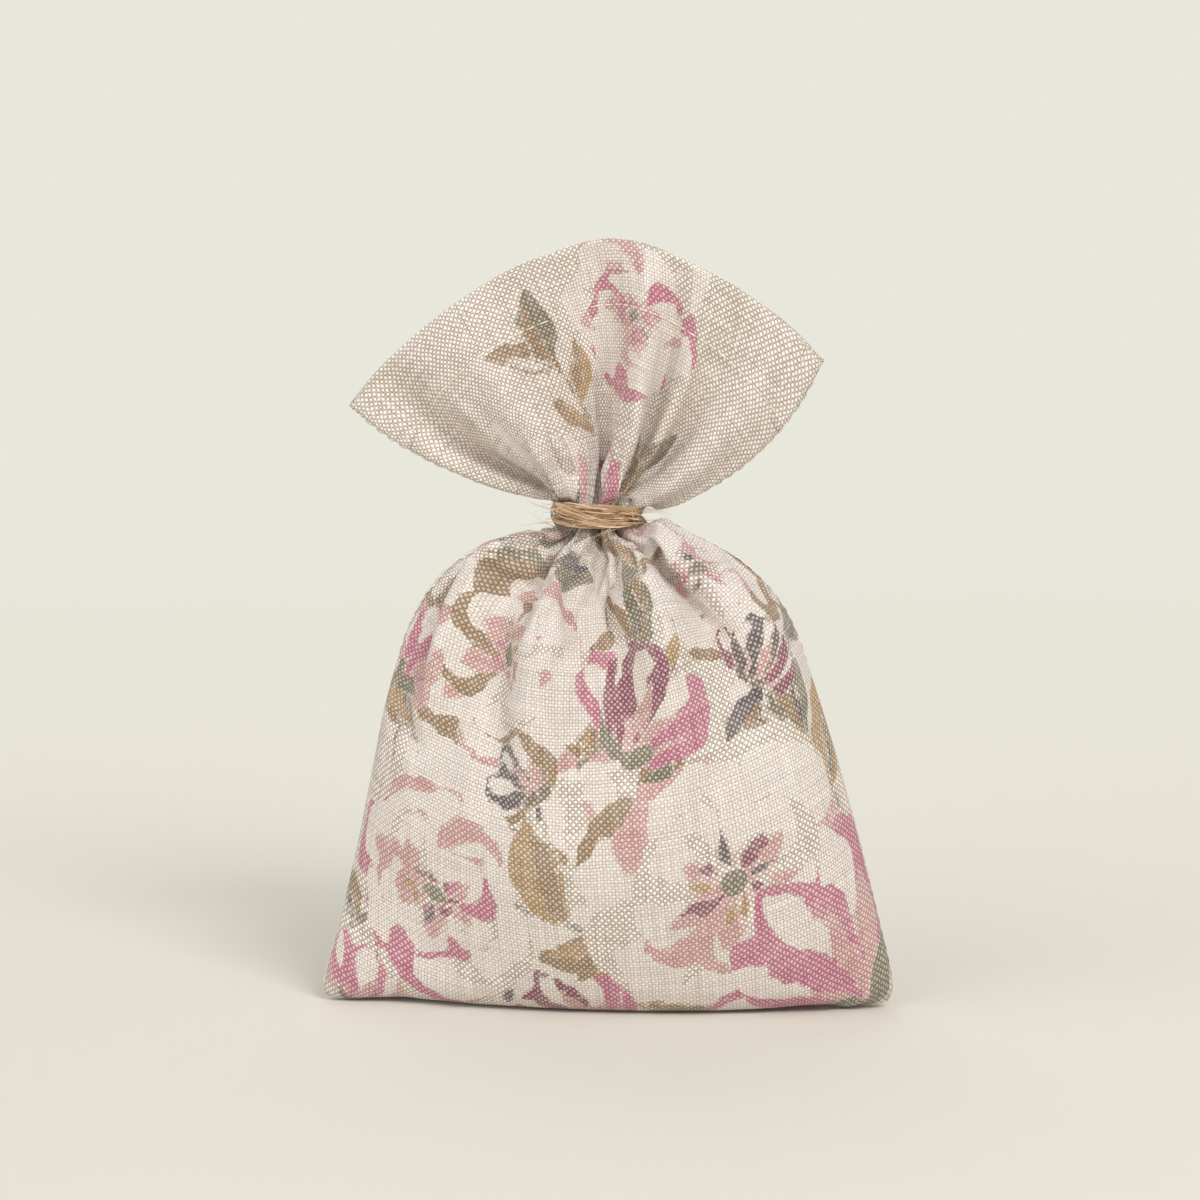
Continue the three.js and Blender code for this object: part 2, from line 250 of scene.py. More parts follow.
# Floor that sweeps up into the backdrop: a strip extruded sideways, with a wide cove
def makeFloor():
    bm = bmesh.new()
    depth, cove, width = studio["floorBack"], studio["cove"], studio["floorWidth"]
    line = [(studio["floorFront"], 0.0), (depth - cove, 0.0)]
    line += [(depth - cove + cove * math.sin(a), cove - cove * math.cos(a))
             for a in np.linspace(0, math.pi / 2, studio["coveSteps"])[1:]]
    line += [(depth, studio["wallHeight"])]
    verts = [bm.verts.new((-width / 2, y, z)) for y, z in line]
    edges = [bm.edges.new(pair) for pair in zip(verts, verts[1:])]
    made = bmesh.ops.extrude_edge_only(bm, edges=edges)["geom"]
    farEdge = [g for g in made if isinstance(g, bmesh.types.BMVert)]
    bmesh.ops.translate(bm, verts=farEdge, vec=(width, 0, 0))
    bmesh.ops.recalc_face_normals(bm, faces=bm.faces)
    mesh = meshFrom(bm, "floor")
    smoothFaces(mesh)
    floor = linkObject("floor", mesh)
    # Matt painted board: even and pale, with the faintest unevenness, and painted light: an emission seen by
    # the camera alone that makes it paler towards the back
    mat, tree = emptyMaterial("matt board")
    place = addNode(tree, "TexCoord", out="Object")
    tone = addNode(tree, "TexNoise", {"Vector": place, "Scale": 2.2, "Detail": 2.0})
    a, b = linear(studio["floorColour"]), linear(studio["floorTone"])
    colour = addNode(tree, "Mix", {0: tone, 6: a, 7: b}, out=2, data_type="RGBA")
    shader = addNode(tree, "BsdfPrincipled",
                     {"Base Color": colour, "Roughness": 0.9, "Specular IOR Level": 0.2})
    parts = addNode(tree, "SeparateXYZ", {0: place}).node.outputs
    # Painted light: an emission for camera rays, growing towards the back, stands in for lamp light on the
    # floor
    far = addNode(tree, "MapRange",
                  {0: parts[1], 1: studio["glowStart"], 2: studio["glowEnd"], 3: 0.0, 4: studio["glow"]},
                  interpolation_type="SMOOTHSTEP")
    level = addNode(tree, "CombineXYZ", {0: parts[0], 1: parts[1]})
    distance = addNode(tree, "VectorMath", {0: level}, out="Value", operation="LENGTH")
    rim = addNode(tree, "MapRange", {0: distance, 1: studio["farStart"], 2: studio["farEnd"]},
                  interpolation_type="SMOOTHSTEP")
    seen = addNode(tree, "LightPath", out="Is Camera Ray")
    amount = addNode(tree, "Math", {0: far, 1: seen}, operation="MULTIPLY")
    glow = addNode(tree, "Emission", {"Color": linear(studio["glowColour"]), "Strength": amount})
    both = addNode(tree, "AddShader", {0: shader, 1: glow})
    faded = addNode(tree, "Math", {0: rim, 1: seen}, operation="MULTIPLY")
    beyond = addNode(tree, "Emission", {"Color": linear(studio["seenAir"])})
    both = addNode(tree, "MixShader", {0: faded, 1: both, 2: beyond})
    addNode(tree, "OutputMaterial", {"Surface": both})
    mesh.materials.append(mat)


makeStudio()
makeFloor()
print("studio made")

# The bag, in millimetres: two panels, sewn at the sides and the bottom
bag = {
    "panelWidth": 104.0,    # seam to seam, laid flat
    "bodyLength": 106.5,    # bottom seam to the tie
    "neckLength": 4.4,      # under the tie
    "ruffleLength": 46.0,   # tie to the hemmed edge
    "step": 1.75,           # between the rows of the cloth's mesh
    "footWidth": 105.0,
    "shoulderWidth": 73.5,
    "shoulderHeight": 63.0,
    "footDepth": 26.0,
    "bellyDepth": 47.0,
    "bellyHeight": 42.0,
    "shoulderRise": 50.0,
    "lean": 0.6,            # how far the body's middle bows to the right
    "footPinch": 0.6,       # makes the foot's section narrower towards the side seams
    "roundHeight": 7.0,     # the foot is rounded up to this height
    "cornerRoundLeft": 1.5,
    "cornerRoundRight": 4.0,
    "edgeRound": 3.0,
    "cornerLiftLeft": 0.0,  # how far the bottom corners stand off the floor
    "cornerLiftRight": 0.6,
    "cornerPower": 20,      # keeps the lift close to the side seams
    "cornerForward": 6.0,   # how far the left bottom corner is pulled towards the front
    "cornerReach": 18.0,    # how much of the foot is pulled with it
    "cornerHeight": 35.0,
    "neckHalfWidth": 6.2,
    "neckHalfDepth": 5.7,
    "neckBottom": 85.3,
    "neckTuck": 0.5,        # share by which the side seams are tucked in under the tie
    "neckTuckFrom": 0.85,   # place across where that begins, and how wide it is
    "neckTuckSpan": 0.15,
    "shoulderPower": 2.2,   # over 2 makes the shoulders squarer than round ones
    "rightSquare": 0.25,    # added to that towards the right
    "leftFlare": 93.0,      # the ruffle's left edge from upright, just above the tie, degrees
    "leftSpread": 70.5,     # and at the hem
    "rightFlare": 109.0,
    "rightSpread": 59.0,
    "mostFlareLeft": 97.0,
    "mostFlareRight": 105.0,
    "hemRise": 1.2,         # how far the ruffle's ends stand up at the hem
    "apart": 1.3,           # from the ruffle's middle to each panel
    "apartNeck": 2.2,       # added to that above the tie
    "apartFade": 12.0,      # over this height
    "apartHem": 0.9,        # and added at the hem
    "footFade": 9.0,        # height over which the neck's width goes over into the fan
    "blendHeight": 7.0,     # height over which the neck's section does
    "droop": 0.8,           # how far the right edge hangs beside the tie
    "droopHeight": 11.0,    # the middle of that above the tie, and its width
    "droopWidth": 6.0,
    "droopFrom": 0.6,       # place across where it begins, and over which it grows
    "droopSpan": 0.4,
    "shoulderPuff": 2.8,    # how far the right shoulder stands up beside the tie
    "puffPlace": 12.0,      # its middle to the right of the body's, and its width
    "puffWidth": 4.5,
    "puffFrom": 0.2,        # place across where it begins, and over which it grows
    "puffSpan": 0.5,
    "profileSteps": 90,     # points up the body, and across a row, before they are evened out
    "rowSteps": 161,
}
clothTop = bag["bodyLength"] + bag["neckLength"]
clothLength = clothTop + bag["ruffleLength"]
columns = round(bag["panelWidth"] / bag["step"])
rows = round(clothLength / bag["step"])

# Folds from the left seam to the right one: place across a panel, from -1 to 1, and height, from -1 to 1
ruffleFolds = [(-1, 0), (-0.93, 0.35), (-0.83, -1), (-0.68, 0.5), (-0.45, 1), (-0.22, -0.8), (0.06, -0.9),
               (0.25, 0.9), (0.37, -0.6), (0.46, 0.2), (0.58, -0.8), (0.8, 0.9), (0.95, 0.4), (1, 0)]
bodyFolds = [(-1, 0), (-0.86, -0.5), (-0.67, 1), (-0.46, -1), (-0.2, 0.8), (0.08, -0.9), (0.36, 1),
             (0.54, -1), (0.78, 0.9), (1, 0)]

# Humps of the ruffle at its hem: height in mm, place across and width. Some stand in its edge, upwards,
# and some in its line seen from above, towards the back.
edgeHumps = [(1.0, -1, 0.15), (-3.8, -0.45, 0.5), (-1.3, 0.6, 0.35), (1.0, 0.16, 0.15)]
bowHumps = [(1.5, 0, 0.2), (-4.0, -0.5, 0.32), (-3.5, 0.6, 0.32)]


# A level section of the full bag at height z
def sectionAt(z, across=0.0):
    rounding = 1 - quarterRound(1 - z / bag["roundHeight"])
    taper = lerp(bag["footWidth"] / 2, bag["shoulderWidth"] / 2, z / bag["shoulderHeight"])
    t = np.clip((z - bag["shoulderHeight"]) / (bag["neckBottom"] - bag["shoulderHeight"]), 0, 1)
    power = bag["shoulderPower"] + bag["rightSquare"] * max(0.0, across)
    closing = (1 - t ** power) ** (1 / power)
    cornerRound = bag["cornerRoundLeft"] if across < 0 else bag["cornerRoundRight"]
    halfWidth = lerp(bag["neckHalfWidth"], taper, closing) - cornerRound * rounding
    fullness = np.sin(np.pi / 2 * np.clip(z / bag["bellyHeight"], 0, 1))
    belly = lerp(bag["footDepth"] / 2, bag["bellyDepth"] / 2, fullness)
    narrowing = quarterRound((z - bag["shoulderRise"]) / (bag["neckBottom"] - bag["shoulderRise"]))
    halfDepth = lerp(bag["neckHalfDepth"], belly, narrowing) - bag["edgeRound"] * rounding
    risen = np.clip(z / bag["neckBottom"], 0, 1)
    middle = neckMiddle * smooth(risen) + bag["lean"] * np.sin(np.pi * risen)
    pointed = 1 + bag["footPinch"] * np.clip(1 - z / bag["bellyHeight"], 0, 1) ** 2
    return halfWidth, halfDepth, middle, pointed


# A smooth hump of height 1
def hump(across, middle, width):
    return np.exp(-((across - middle) / width) ** 2)


def sumHumps(table, across, start):
    return sum((height * hump(across, middle, width) for height, middle, width in table), start)


# One row of the body, at a share of the way from the bottom seam to the tie
def bodyRow(across, side, share):
    t = (1 - np.cos(np.linspace(0, np.pi, bag["profileSteps"]))) / 2
    out = np.zeros((len(across), 3))
    for k, s in enumerate(across):
        turn = s * np.pi / 2
        lift = bag["cornerLiftLeft"] if s < 0 else bag["cornerLiftRight"]
        corner = lift * abs(np.sin(turn)) ** bag["cornerPower"]
        z = lerp(corner, bag["neckBottom"], t)
        halfWidth, halfDepth, middle, pointed = sectionAt(z, s)
        x = halfWidth * np.sin(turn)
        grown = smooth((s - bag["puffFrom"]) / bag["puffSpan"])
        puff = bag["shoulderPuff"] * hump(x, bag["puffPlace"], bag["puffWidth"]) * grown
        inwards = (x + bag["footWidth"] / 2) / bag["cornerReach"]
        pulled = bag["cornerForward"] * smooth(1 - inwards) * smooth(1 - z / bag["cornerHeight"])
        wall = np.stack([middle + x, side * halfDepth * np.cos(turn) ** pointed - pulled, z + puff], -1)
        line = np.vstack([[wall[0, 0], -pulled[0], corner], wall])
        dist = distances(line)
        out[k] = readAlong(line, dist, share * dist[-1])
    return out


def neckRow(across, side, z):
    turn = across * np.pi / 2
    beside = (np.abs(across) - bag["neckTuckFrom"]) / bag["neckTuckSpan"]
    tuck = 1 - bag["neckTuck"] * np.clip(beside, 0, 1) ** 2
    return np.stack([neckMiddle + bag["neckHalfWidth"] * np.sin(turn) * tuck,
                     side * bag["neckHalfDepth"] * np.cos(turn), np.full(len(across), z)], -1)


# One row of the ruffle, reach millimetres above the tie
def ruffleRow(across, side, reach):
    share = reach / bag["ruffleLength"]
    left = min(bag["mostFlareLeft"], lerp(bag["leftFlare"], bag["leftSpread"], share))
    right = min(bag["mostFlareRight"], lerp(bag["rightFlare"], bag["rightSpread"], share ** 0.8))
    angle = np.radians(lerp(-left, right, (across + 1) / 2))
    radius = reach + share * sumHumps(edgeHumps, across, bag["hemRise"] * across ** 4)
    gap = bag["apart"] + bag["apartNeck"] * np.exp(-reach / bag["apartFade"]) + bag["apartHem"] * share ** 2
    bow = sumHumps(bowHumps, across, 0)
    top = bag["neckBottom"] + bag["neckLength"]
    foot = bag["neckHalfWidth"] * np.sin(across * np.pi / 2) * math.exp(-reach / bag["footFade"])
    grown = smooth((across - bag["droopFrom"]) / bag["droopSpan"])
    droop = bag["droop"] * hump(reach, bag["droopHeight"], bag["droopWidth"]) * grown
    spread = np.stack([neckMiddle + radius * np.sin(angle) + foot,
                       side * gap * (1 - across ** 4) + bow * share ** 1.5,
                       top + radius * np.cos(angle) - droop], -1)
    return lerp(neckRow(across, side, top), spread, smooth(reach / bag["blendHeight"]))


# A smooth line through a list of folds
def foldLine(table, across):
    x, y = np.array(table).T
    i = np.clip(np.searchsorted(x, across, side="right") - 1, 0, len(x) - 2)
    t = (across - x[i]) / (x[i + 1] - x[i])
    return y[i] + (y[i + 1] - y[i]) * (0.5 - 0.5 * np.cos(np.pi * t))


# How the spare width stands in folds before the cloth settles, in millimetres
folds = {
    "gathers": 10,          # half waves of the fine gathers across a panel's half width
    "gatherShare": 0.35,    # how much they take from the folds beside the tie
    "gatherFade": 4.0,      # over this distance from it
    "gatherShift": 0.05,    # how uneven they are
    "gatherTurn": 4.1,
    "gatherStart": 0.7,
    "facingFade": 10.0,     # above the tie the folds turn to face front and back over this height
    "insetBody": 0.35,      # share of their height that the body's folds lie inside its outline
    "insetNeck": 0.65,      # added to that below the tie, over insetFade
    "insetFade": 10.0,
    "leanLevel": 0.3,       # how much of a row's slope the leaning follows
    "leanRuffle": (0.5, 22.0),      # how far folds lean over beside the tie, and how fast that fades
    "leanBody": (-0.4, 14.0),
    "leanMiddle": 0.15,     # they stand upright this close to the middle, across
    "footFree": 30.0,       # no folds below this length from the bottom seam, and all of them above both
    "footFade": 50.0,
    "heightNeck": 5.5,      # the highest they may be beside the tie, and away from it
    "heightAway": 12.0,
    "heightFade": 12.0,
    "tries": 24,
}


# Where the cloth of one panel lies before it settles: its spare width stands in folds,
# the same in both panels
def startPlaces(side):
    across = np.linspace(-1, 1, columns + 1)
    dense = np.linspace(-1, 1, bag["rowSteps"])
    shift = folds["gatherShift"] * np.sin(folds["gatherTurn"] * across + folds["gatherStart"])
    gathers = np.sin(np.pi * folds["gathers"] * (across + shift * (1 - across ** 2)))
    heights = np.linspace(0, clothLength, rows + 1)
    plain = []
    for v in heights:
        if v <= bag["bodyLength"]:
            line = bodyRow(dense, side, v / bag["bodyLength"])
        elif v <= clothTop:
            line = neckRow(dense, side, bag["neckBottom"] + v - bag["bodyLength"])
        else:
            line = ruffleRow(dense, side, v - clothTop)
        plain.append(evenly(line, columns + 1))
    plain = np.array(plain)
    alongRow = np.gradient(plain, axis=1)
    outward = np.cross(alongRow, np.gradient(plain, axis=0))
    outward /= np.linalg.norm(outward, axis=2, keepdims=True) + 1e-9
    outward *= np.where(outward[..., 1] * side < 0, -1, 1)[..., None]
    folded = np.empty_like(plain)
    gathered = np.ones(rows + 1)
    for r, v in enumerate(heights):
        above = v > clothTop
        away = v - clothTop if above else max(0.0, bag["bodyLength"] - v)
        mix = folds["gatherShare"] * math.exp(-away / folds["gatherFade"])
        wave = -side * lerp(foldLine(ruffleFolds if above else bodyFolds, across), gathers, mix)
        facing = outward[r]
        if above:
            facing = lerp(facing, np.array([0.0, side, 0.0]), smooth(away / folds["facingFade"]))
            inset = math.exp(-away / folds["gatherFade"]) * (1 - across ** 4)
        else:
            inset = folds["insetBody"] + folds["insetNeck"] * math.exp(-away / folds["insetFade"])
        along = alongRow[r] / (np.linalg.norm(alongRow[r], axis=1, keepdims=True) + 1e-9)
        along[:, 2] *= folds["leanLevel"]
        most, leanFade = folds["leanRuffle"] if above else folds["leanBody"]
        lean = most * math.exp(-away / leanFade) * np.sign(across + 1e-6)
        lean = lean * smooth(np.abs(across) / folds["leanMiddle"])
        fade = smooth((v - folds["footFree"]) / folds["footFade"])

        def withFolds(height):
            size = fade * height / 2 * (1 - across ** 8)
            outwards, sideways = size * (wave - inset), size * lean * wave
            return plain[r] + facing * outwards[:, None] + along * sideways[:, None]

        low, high = 0.0, lerp(folds["heightNeck"], folds["heightAway"], min(1, away / folds["heightFade"]))
        if lineLength(withFolds(high)) > bag["panelWidth"]:
            for _ in range(folds["tries"]):
                middle = (low + high) / 2
                if lineLength(withFolds(middle)) > bag["panelWidth"]:
                    high = middle
                else:
                    low = middle
        fits = lineLength(plain[r]) < bag["panelWidth"]
        folded[r] = withFolds(high) if fits else plain[r]
        gathered[r] = min(1.0, lineLength(folded[r]) / bag["panelWidth"])
    steps = np.linalg.norm(np.diff(plain, axis=0), axis=2)
    rise = np.vstack([np.zeros((1, columns + 1)), np.cumsum(steps, axis=0)])
    return folded, gathered, rise


cloth = {
    "scale": 0.01,          # the cloth is simulated at this many metres per millimetre
    "frames": 24,
    "quality": 6,
    "mass": 0.15,
    "tension": 15.0,
    "shear": 8.0,
    "bending": 3.0,
    "damping": 5.0,
    "bendingDamping": 0.5,
    "airDamping": 2,
    "pressure": 1.4,        # the filling pushes the body out
    "gravity": 0.3,
    "selfDistance": 0.7,    # mm
    "selfFriction": 5,
    "contact": 0.004,       # m, in the simulation
    "contactQuality": 3,
    "packedReach": 3,       # the cloth meets itself from this far below the tie to this far above it, mm
    "groundSize": 4,        # m, in the simulation
    "groundDrop": 0.45,     # mm below the lowest row
    "groundFriction": 10,
    "ruffleHold": 0.95,     # how firmly the start places hold the hem, and the ruffle just above the tie
    "ruffleHoldLow": 0.9,
    "ruffleFrom": 0.9,      # that begins this far above the tie, mm
    "neckInside": 1.2,      # the neck is held fast from this far inside its ends, mm
    "cornerHold": 0.95,
    "cornerFrom": 0.85,     # the bottom corners: from this place across, up to this length, mm
    "cornerLength": 12,
    "seamHold": 0.65,
    "bodyHold": 0.15,
    "gatherBody": 0.2,      # how much of the start rows' gathering the cut keeps
    "gatherRuffle": 1.0,
    "cutRise": 0.9,         # and how much of their lengths upwards
}


# Both panels as one sewn sheet, with each point's place on the flat cloth kept in two layers
def sewBag():
    bm = bmesh.new()
    acrossLayer = bm.verts.layers.float.new("across")
    alongLayer = bm.verts.layers.float.new("along")
    tables = {side: startPlaces(side) for side in (-1, 1)}
    for side in (-1, 1):
        made = bmesh.ops.create_grid(bm, x_segments=columns, y_segments=rows, size=0.5)["verts"]
        folded = tables[side][0]
        for vert in made:
            vert[acrossLayer] = vert.co.x * 2
            vert[alongLayer] = (vert.co.y + 0.5) * clothLength
            i = round((vert.co.x + 0.5) * columns)
            j = round((vert.co.y + 0.5) * rows)
            vert.co = folded[j, i] * cloth["scale"]
        faces = {f for vert in made for f in vert.link_faces}
        for face in faces:
            face.material_index = 0 if side < 0 else 1
        if side > 0:
            bmesh.ops.reverse_faces(bm, faces=list(faces))
    seam = [v for v in bm.verts if abs(abs(v[acrossLayer]) - 1) < 1e-4 or v[alongLayer] < 1e-4]
    bmesh.ops.remove_doubles(bm, verts=seam, dist=1e-5)
    return linkObject("bag", meshFrom(bm, "bag")), tables


def readLayer(mesh, name):
    values = np.zeros(len(mesh.vertices), np.float32)
    mesh.attributes[name].data.foreach_get("value", values)
    return values


# The cut that the cloth wants to go back to: flat, and drawn in where the start rows are gathered
def addCut(sewn, tables, across, along):
    sewn.shape_key_add(name="Basis")
    key = sewn.shape_key_add(name="cut")
    column = np.rint((across + 1) / 2 * columns).astype(int)
    row = np.rint(along / clothLength * rows).astype(int)
    rise = (tables[-1][2] + tables[1][2]) / 2
    gathered = tables[1][1]
    heights = np.linspace(0, clothLength, rows + 1)
    power = np.where(heights > bag["bodyLength"], cloth["gatherRuffle"], cloth["gatherBody"])
    flat = np.zeros((len(across), 3), np.float32)
    flat[:, 0] = across * bag["panelWidth"] / 2 * (gathered ** power)[row]
    flat[:, 2] = lerp(along, rise[row, column], cloth["cutRise"])
    key.data.foreach_set("co", (flat * cloth["scale"]).ravel())
    return key


# The seams, the ruffle and the neck hold the cloth, more or less
def holdOf(across, along):
    hold = np.full(len(across), cloth["bodyHold"])
    hold[(np.abs(across) > 0.99) | (along < 1)] = cloth["seamHold"]
    corners = (np.abs(across) > cloth["cornerFrom"]) & (along < cloth["cornerLength"])
    hold[corners] = cloth["cornerHold"]
    above = along > clothTop + cloth["ruffleFrom"]
    reach = (along[above] - clothTop) / bag["ruffleLength"]
    hold[above] = lerp(cloth["ruffleHoldLow"], cloth["ruffleHold"], reach ** 2)
    inside = cloth["neckInside"]
    hold[(along >= bag["bodyLength"] + inside) & (along <= clothTop - inside)] = 1.0
    return hold


def addGroup(piece, name, weights):
    group = piece.vertex_groups.new(name=name)
    for index in np.nonzero(weights)[0]:
        group.add([int(index)], float(weights[index]), "REPLACE")


def settleCloth(sewn, tables):
    across, along = readLayer(sewn.data, "across"), readLayer(sewn.data, "along")
    key = addCut(sewn, tables, across, along)
    addGroup(sewn, "hold", holdOf(across, along))
    addGroup(sewn, "filled", (along < bag["bodyLength"] - 1).astype(float))
    reach = cloth["packedReach"]
    near = (along >= bag["bodyLength"] - reach) & (along <= clothTop + reach)
    addGroup(sewn, "packed", near.astype(float))
    modifier = sewn.modifiers.new("Cloth", "CLOTH")
    c = modifier.settings
    c.quality = cloth["quality"]
    c.mass = cloth["mass"]
    c.tension_stiffness = c.compression_stiffness = cloth["tension"]
    c.shear_stiffness = cloth["shear"]
    c.bending_model = "ANGULAR"
    c.bending_stiffness = cloth["bending"]
    c.tension_damping = c.compression_damping = c.shear_damping = cloth["damping"]
    c.bending_damping = cloth["bendingDamping"]
    c.air_damping = cloth["airDamping"]
    c.vertex_group_mass = "hold"
    c.rest_shape_key = key
    c.use_pressure = True
    c.uniform_pressure_force = cloth["pressure"]
    c.vertex_group_pressure = "filled"
    c.effector_weights.gravity = cloth["gravity"]
    k = modifier.collision_settings
    k.distance_min = cloth["contact"]
    k.collision_quality = cloth["contactQuality"]
    k.use_self_collision = True
    k.self_distance_min = cloth["selfDistance"] * cloth["scale"]
    k.self_friction = cloth["selfFriction"]
    k.vertex_group_self_collisions = "packed"
    below = -cloth["groundDrop"] * cloth["scale"]
    bpy.ops.mesh.primitive_plane_add(size=cloth["groundSize"], location=(0, 0, below))
    ground = bpy.context.object
    ground.modifiers.new("Collision", "COLLISION")
    ground.collision.thickness_outer = cloth["contact"]
    ground.collision.cloth_friction = cloth["groundFriction"]
    modifier.point_cache.frame_start = 1
    modifier.point_cache.frame_end = cloth["frames"]
    for number in range(1, cloth["frames"] + 1):
        bpy.context.scene.frame_set(number)
    settled = finishedMesh(sewn)
    bpy.data.objects.remove(ground)
    bpy.context.scene.frame_set(1)
    return settled


started = time.time()
sewnBag, startTables = sewBag()
bagMesh = settleCloth(sewnBag, startTables)
bpy.data.objects.remove(sewnBag)
bagMesh.transform(Matrix.Scale(mm / cloth["scale"], 4))
print(f"cloth settled in {time.time() - started:.0f} s, {len(bagMesh.vertices)} points")

# The panels as cloth with a thickness
panel = {
    "thickness": 0.45,      # mm
    "hemRows": 7,           # rows of the mesh turned in at the mouth
    "hemDepth": 1.0,        # outer face to the turned-in layer's face
    "hemTuck": 0.6,         # its ends lie this share of a step in from the side seams
    "hemCrest": 0.4,        # the fold's crest above the last row
    "hemStart": 0.8,        # length along the cloth at the fold, past the last row
    "seamGroove": 0.6,      # how far the seams lie in
    "seamGap": 0.15,        # each panel's edge stops this short of the seam
}


# One panel cut out of the settled bag, its hem turned in at the mouth
def cutPanel(side):
    bm = bmesh.new()
    bm.from_mesh(bagMesh)
    bm.normal_update()
    acrossLayer = bm.verts.layers.float["across"]
    alongLayer = bm.verts.layers.float["along"]
    place = {}
    index = 0 if side < 0 else 1
    for face in bm.faces:
        if face.material_index == index:
            for vert in face.verts:
                i = round((vert[acrossLayer] + 1) / 2 * columns)
                j = round(vert[alongLayer] / clothLength * rows)
                place[i, j] = (vert.co.copy(), vert.normal.copy())
    bmesh.ops.delete(bm, geom=[f for f in bm.faces if f.material_index != index], context="FACES")
    for face in bm.faces:
        face.material_index = 0
    for vert in bm.verts:
        if not vert.is_boundary or vert[alongLayer] > clothLength - 1e-3:
            continue
        inner = [e.other_vert(vert).co for e in vert.link_edges if not e.is_boundary]
        if inner:
            vert.co += (inner[0] - vert.co).normalized() * panel["seamGap"] * mm
    mouth = [e for e in bm.edges
             if e.is_boundary and all(v[alongLayer] > clothLength - 1e-3 for v in e.verts)]
    for turn in range(panel["hemRows"] + 2):
        made = bmesh.ops.extrude_edge_only(bm, edges=mouth)["geom"]
        mouth = [g for g in made if isinstance(g, bmesh.types.BMEdge)]
        for vert in [g for g in made if isinstance(g, bmesh.types.BMVert)]:
            i = round((vert[acrossLayer] + 1) / 2 * columns)
            depth = panel["hemDepth"] * (1 - abs(vert[acrossLayer]) ** 6)
            edge, facing = place[i, rows]
            if turn == 0:
                rim = (edge - place[i, rows - 1][0]).normalized()
                vert.co = edge - facing * depth * 0.5 * mm + rim * panel["hemCrest"] * mm
            else:
                spot, facing = place[i, rows - turn + 1]
                if abs(vert[acrossLayer]) > 0.999:
                    nextIn = place[min(max(i, 1), columns - 1), rows - turn + 1][0]
                    spot = spot.lerp(nextIn, panel["hemTuck"])
                vert.co = spot - facing * depth * mm
            vert[alongLayer] = clothLength + panel["hemStart"] + turn * bag["step"]
    rough = linkObject("rough panel", meshFrom(bm, "panel"))
    finer = rough.modifiers.new("finer", "SUBSURF")
    finer.levels = finer.render_levels = 1
    finer.boundary_smooth = "PRESERVE_CORNERS"
    fine = finishedMesh(rough)
    bpy.data.objects.remove(rough)
    return fine


# The print: painted flowers on the flat cloth, as one field per ink. A field is how far inside the ink's
# strokes a point lies, in mm, and below zero outside them.
inkNames = ["cream", "blush", "tan", "olive", "mauve", "rose", "magenta", "ochre"]
farOutside = -9.0
brushWander = 0.45         # mm, for each of the waves that make the strokes' edges wander


class Print:
    def __init__(self, u, v):
        waveU = np.sin(0.61 * u + 0.23 * v + 1.3) + np.sin(0.37 * v - 0.52 * u)
        waveV = np.sin(0.55 * v + 0.31 * u + 0.4) + np.sin(0.43 * u + 0.19 * v + 2.0)
        self.u = u + brushWander * (waveU + 0.6 * np.sin(1.7 * u + 0.4 * v))
        self.v = v + brushWander * (waveV + 0.6 * np.sin(1.9 * v - u))
        self.fields = {ink: np.full(len(u), farOutside) for ink in inkNames}

    # A later stroke covers the earlier ones, and a bare one leaves the cloth's own colour
    def lay(self, ink, shape):
        for other in inkNames:
            if other != ink:
                self.fields[other] = np.minimum(self.fields[other], -shape)
        if ink != "bare":
            self.fields[ink] = np.maximum(self.fields[ink], shape)

    # A petal or leaf: rounded, widest at the given share of its length
    def petal(self, ink, at, heading, length, width, widest=0.6, bend=0.0):
        c, s = math.cos(heading), math.sin(heading)
        a = (self.u - at[0]) * c + (self.v - at[1]) * s
        b = (self.v - at[1]) * c - (self.u - at[0]) * s
        t = np.clip(a / length, 0, 1)
        b = b - bend * length * t * t
        power = math.log(0.5) / math.log(widest)
        half = width / 2 * np.sin(np.pi * np.clip(t, 0.001, 0.999) ** power) ** 0.75
        beyond = np.maximum(np.maximum(-a, a - length), 0)
        self.lay(ink, half - np.abs(b) - beyond)

    def spot(self, ink, at, radius, squeeze=1.0):
        self.lay(ink, radius - np.hypot(self.u - at[0], (self.v - at[1]) / squeeze))


# A point on a petal's or leaf's middle line
def onStroke(at, heading, length, bend, t):
    c, s = math.cos(heading), math.sin(heading)
    a, b = length * t, bend * length * t * t
    return at[0] + a * c - b * s, at[1] + a * s + b * c


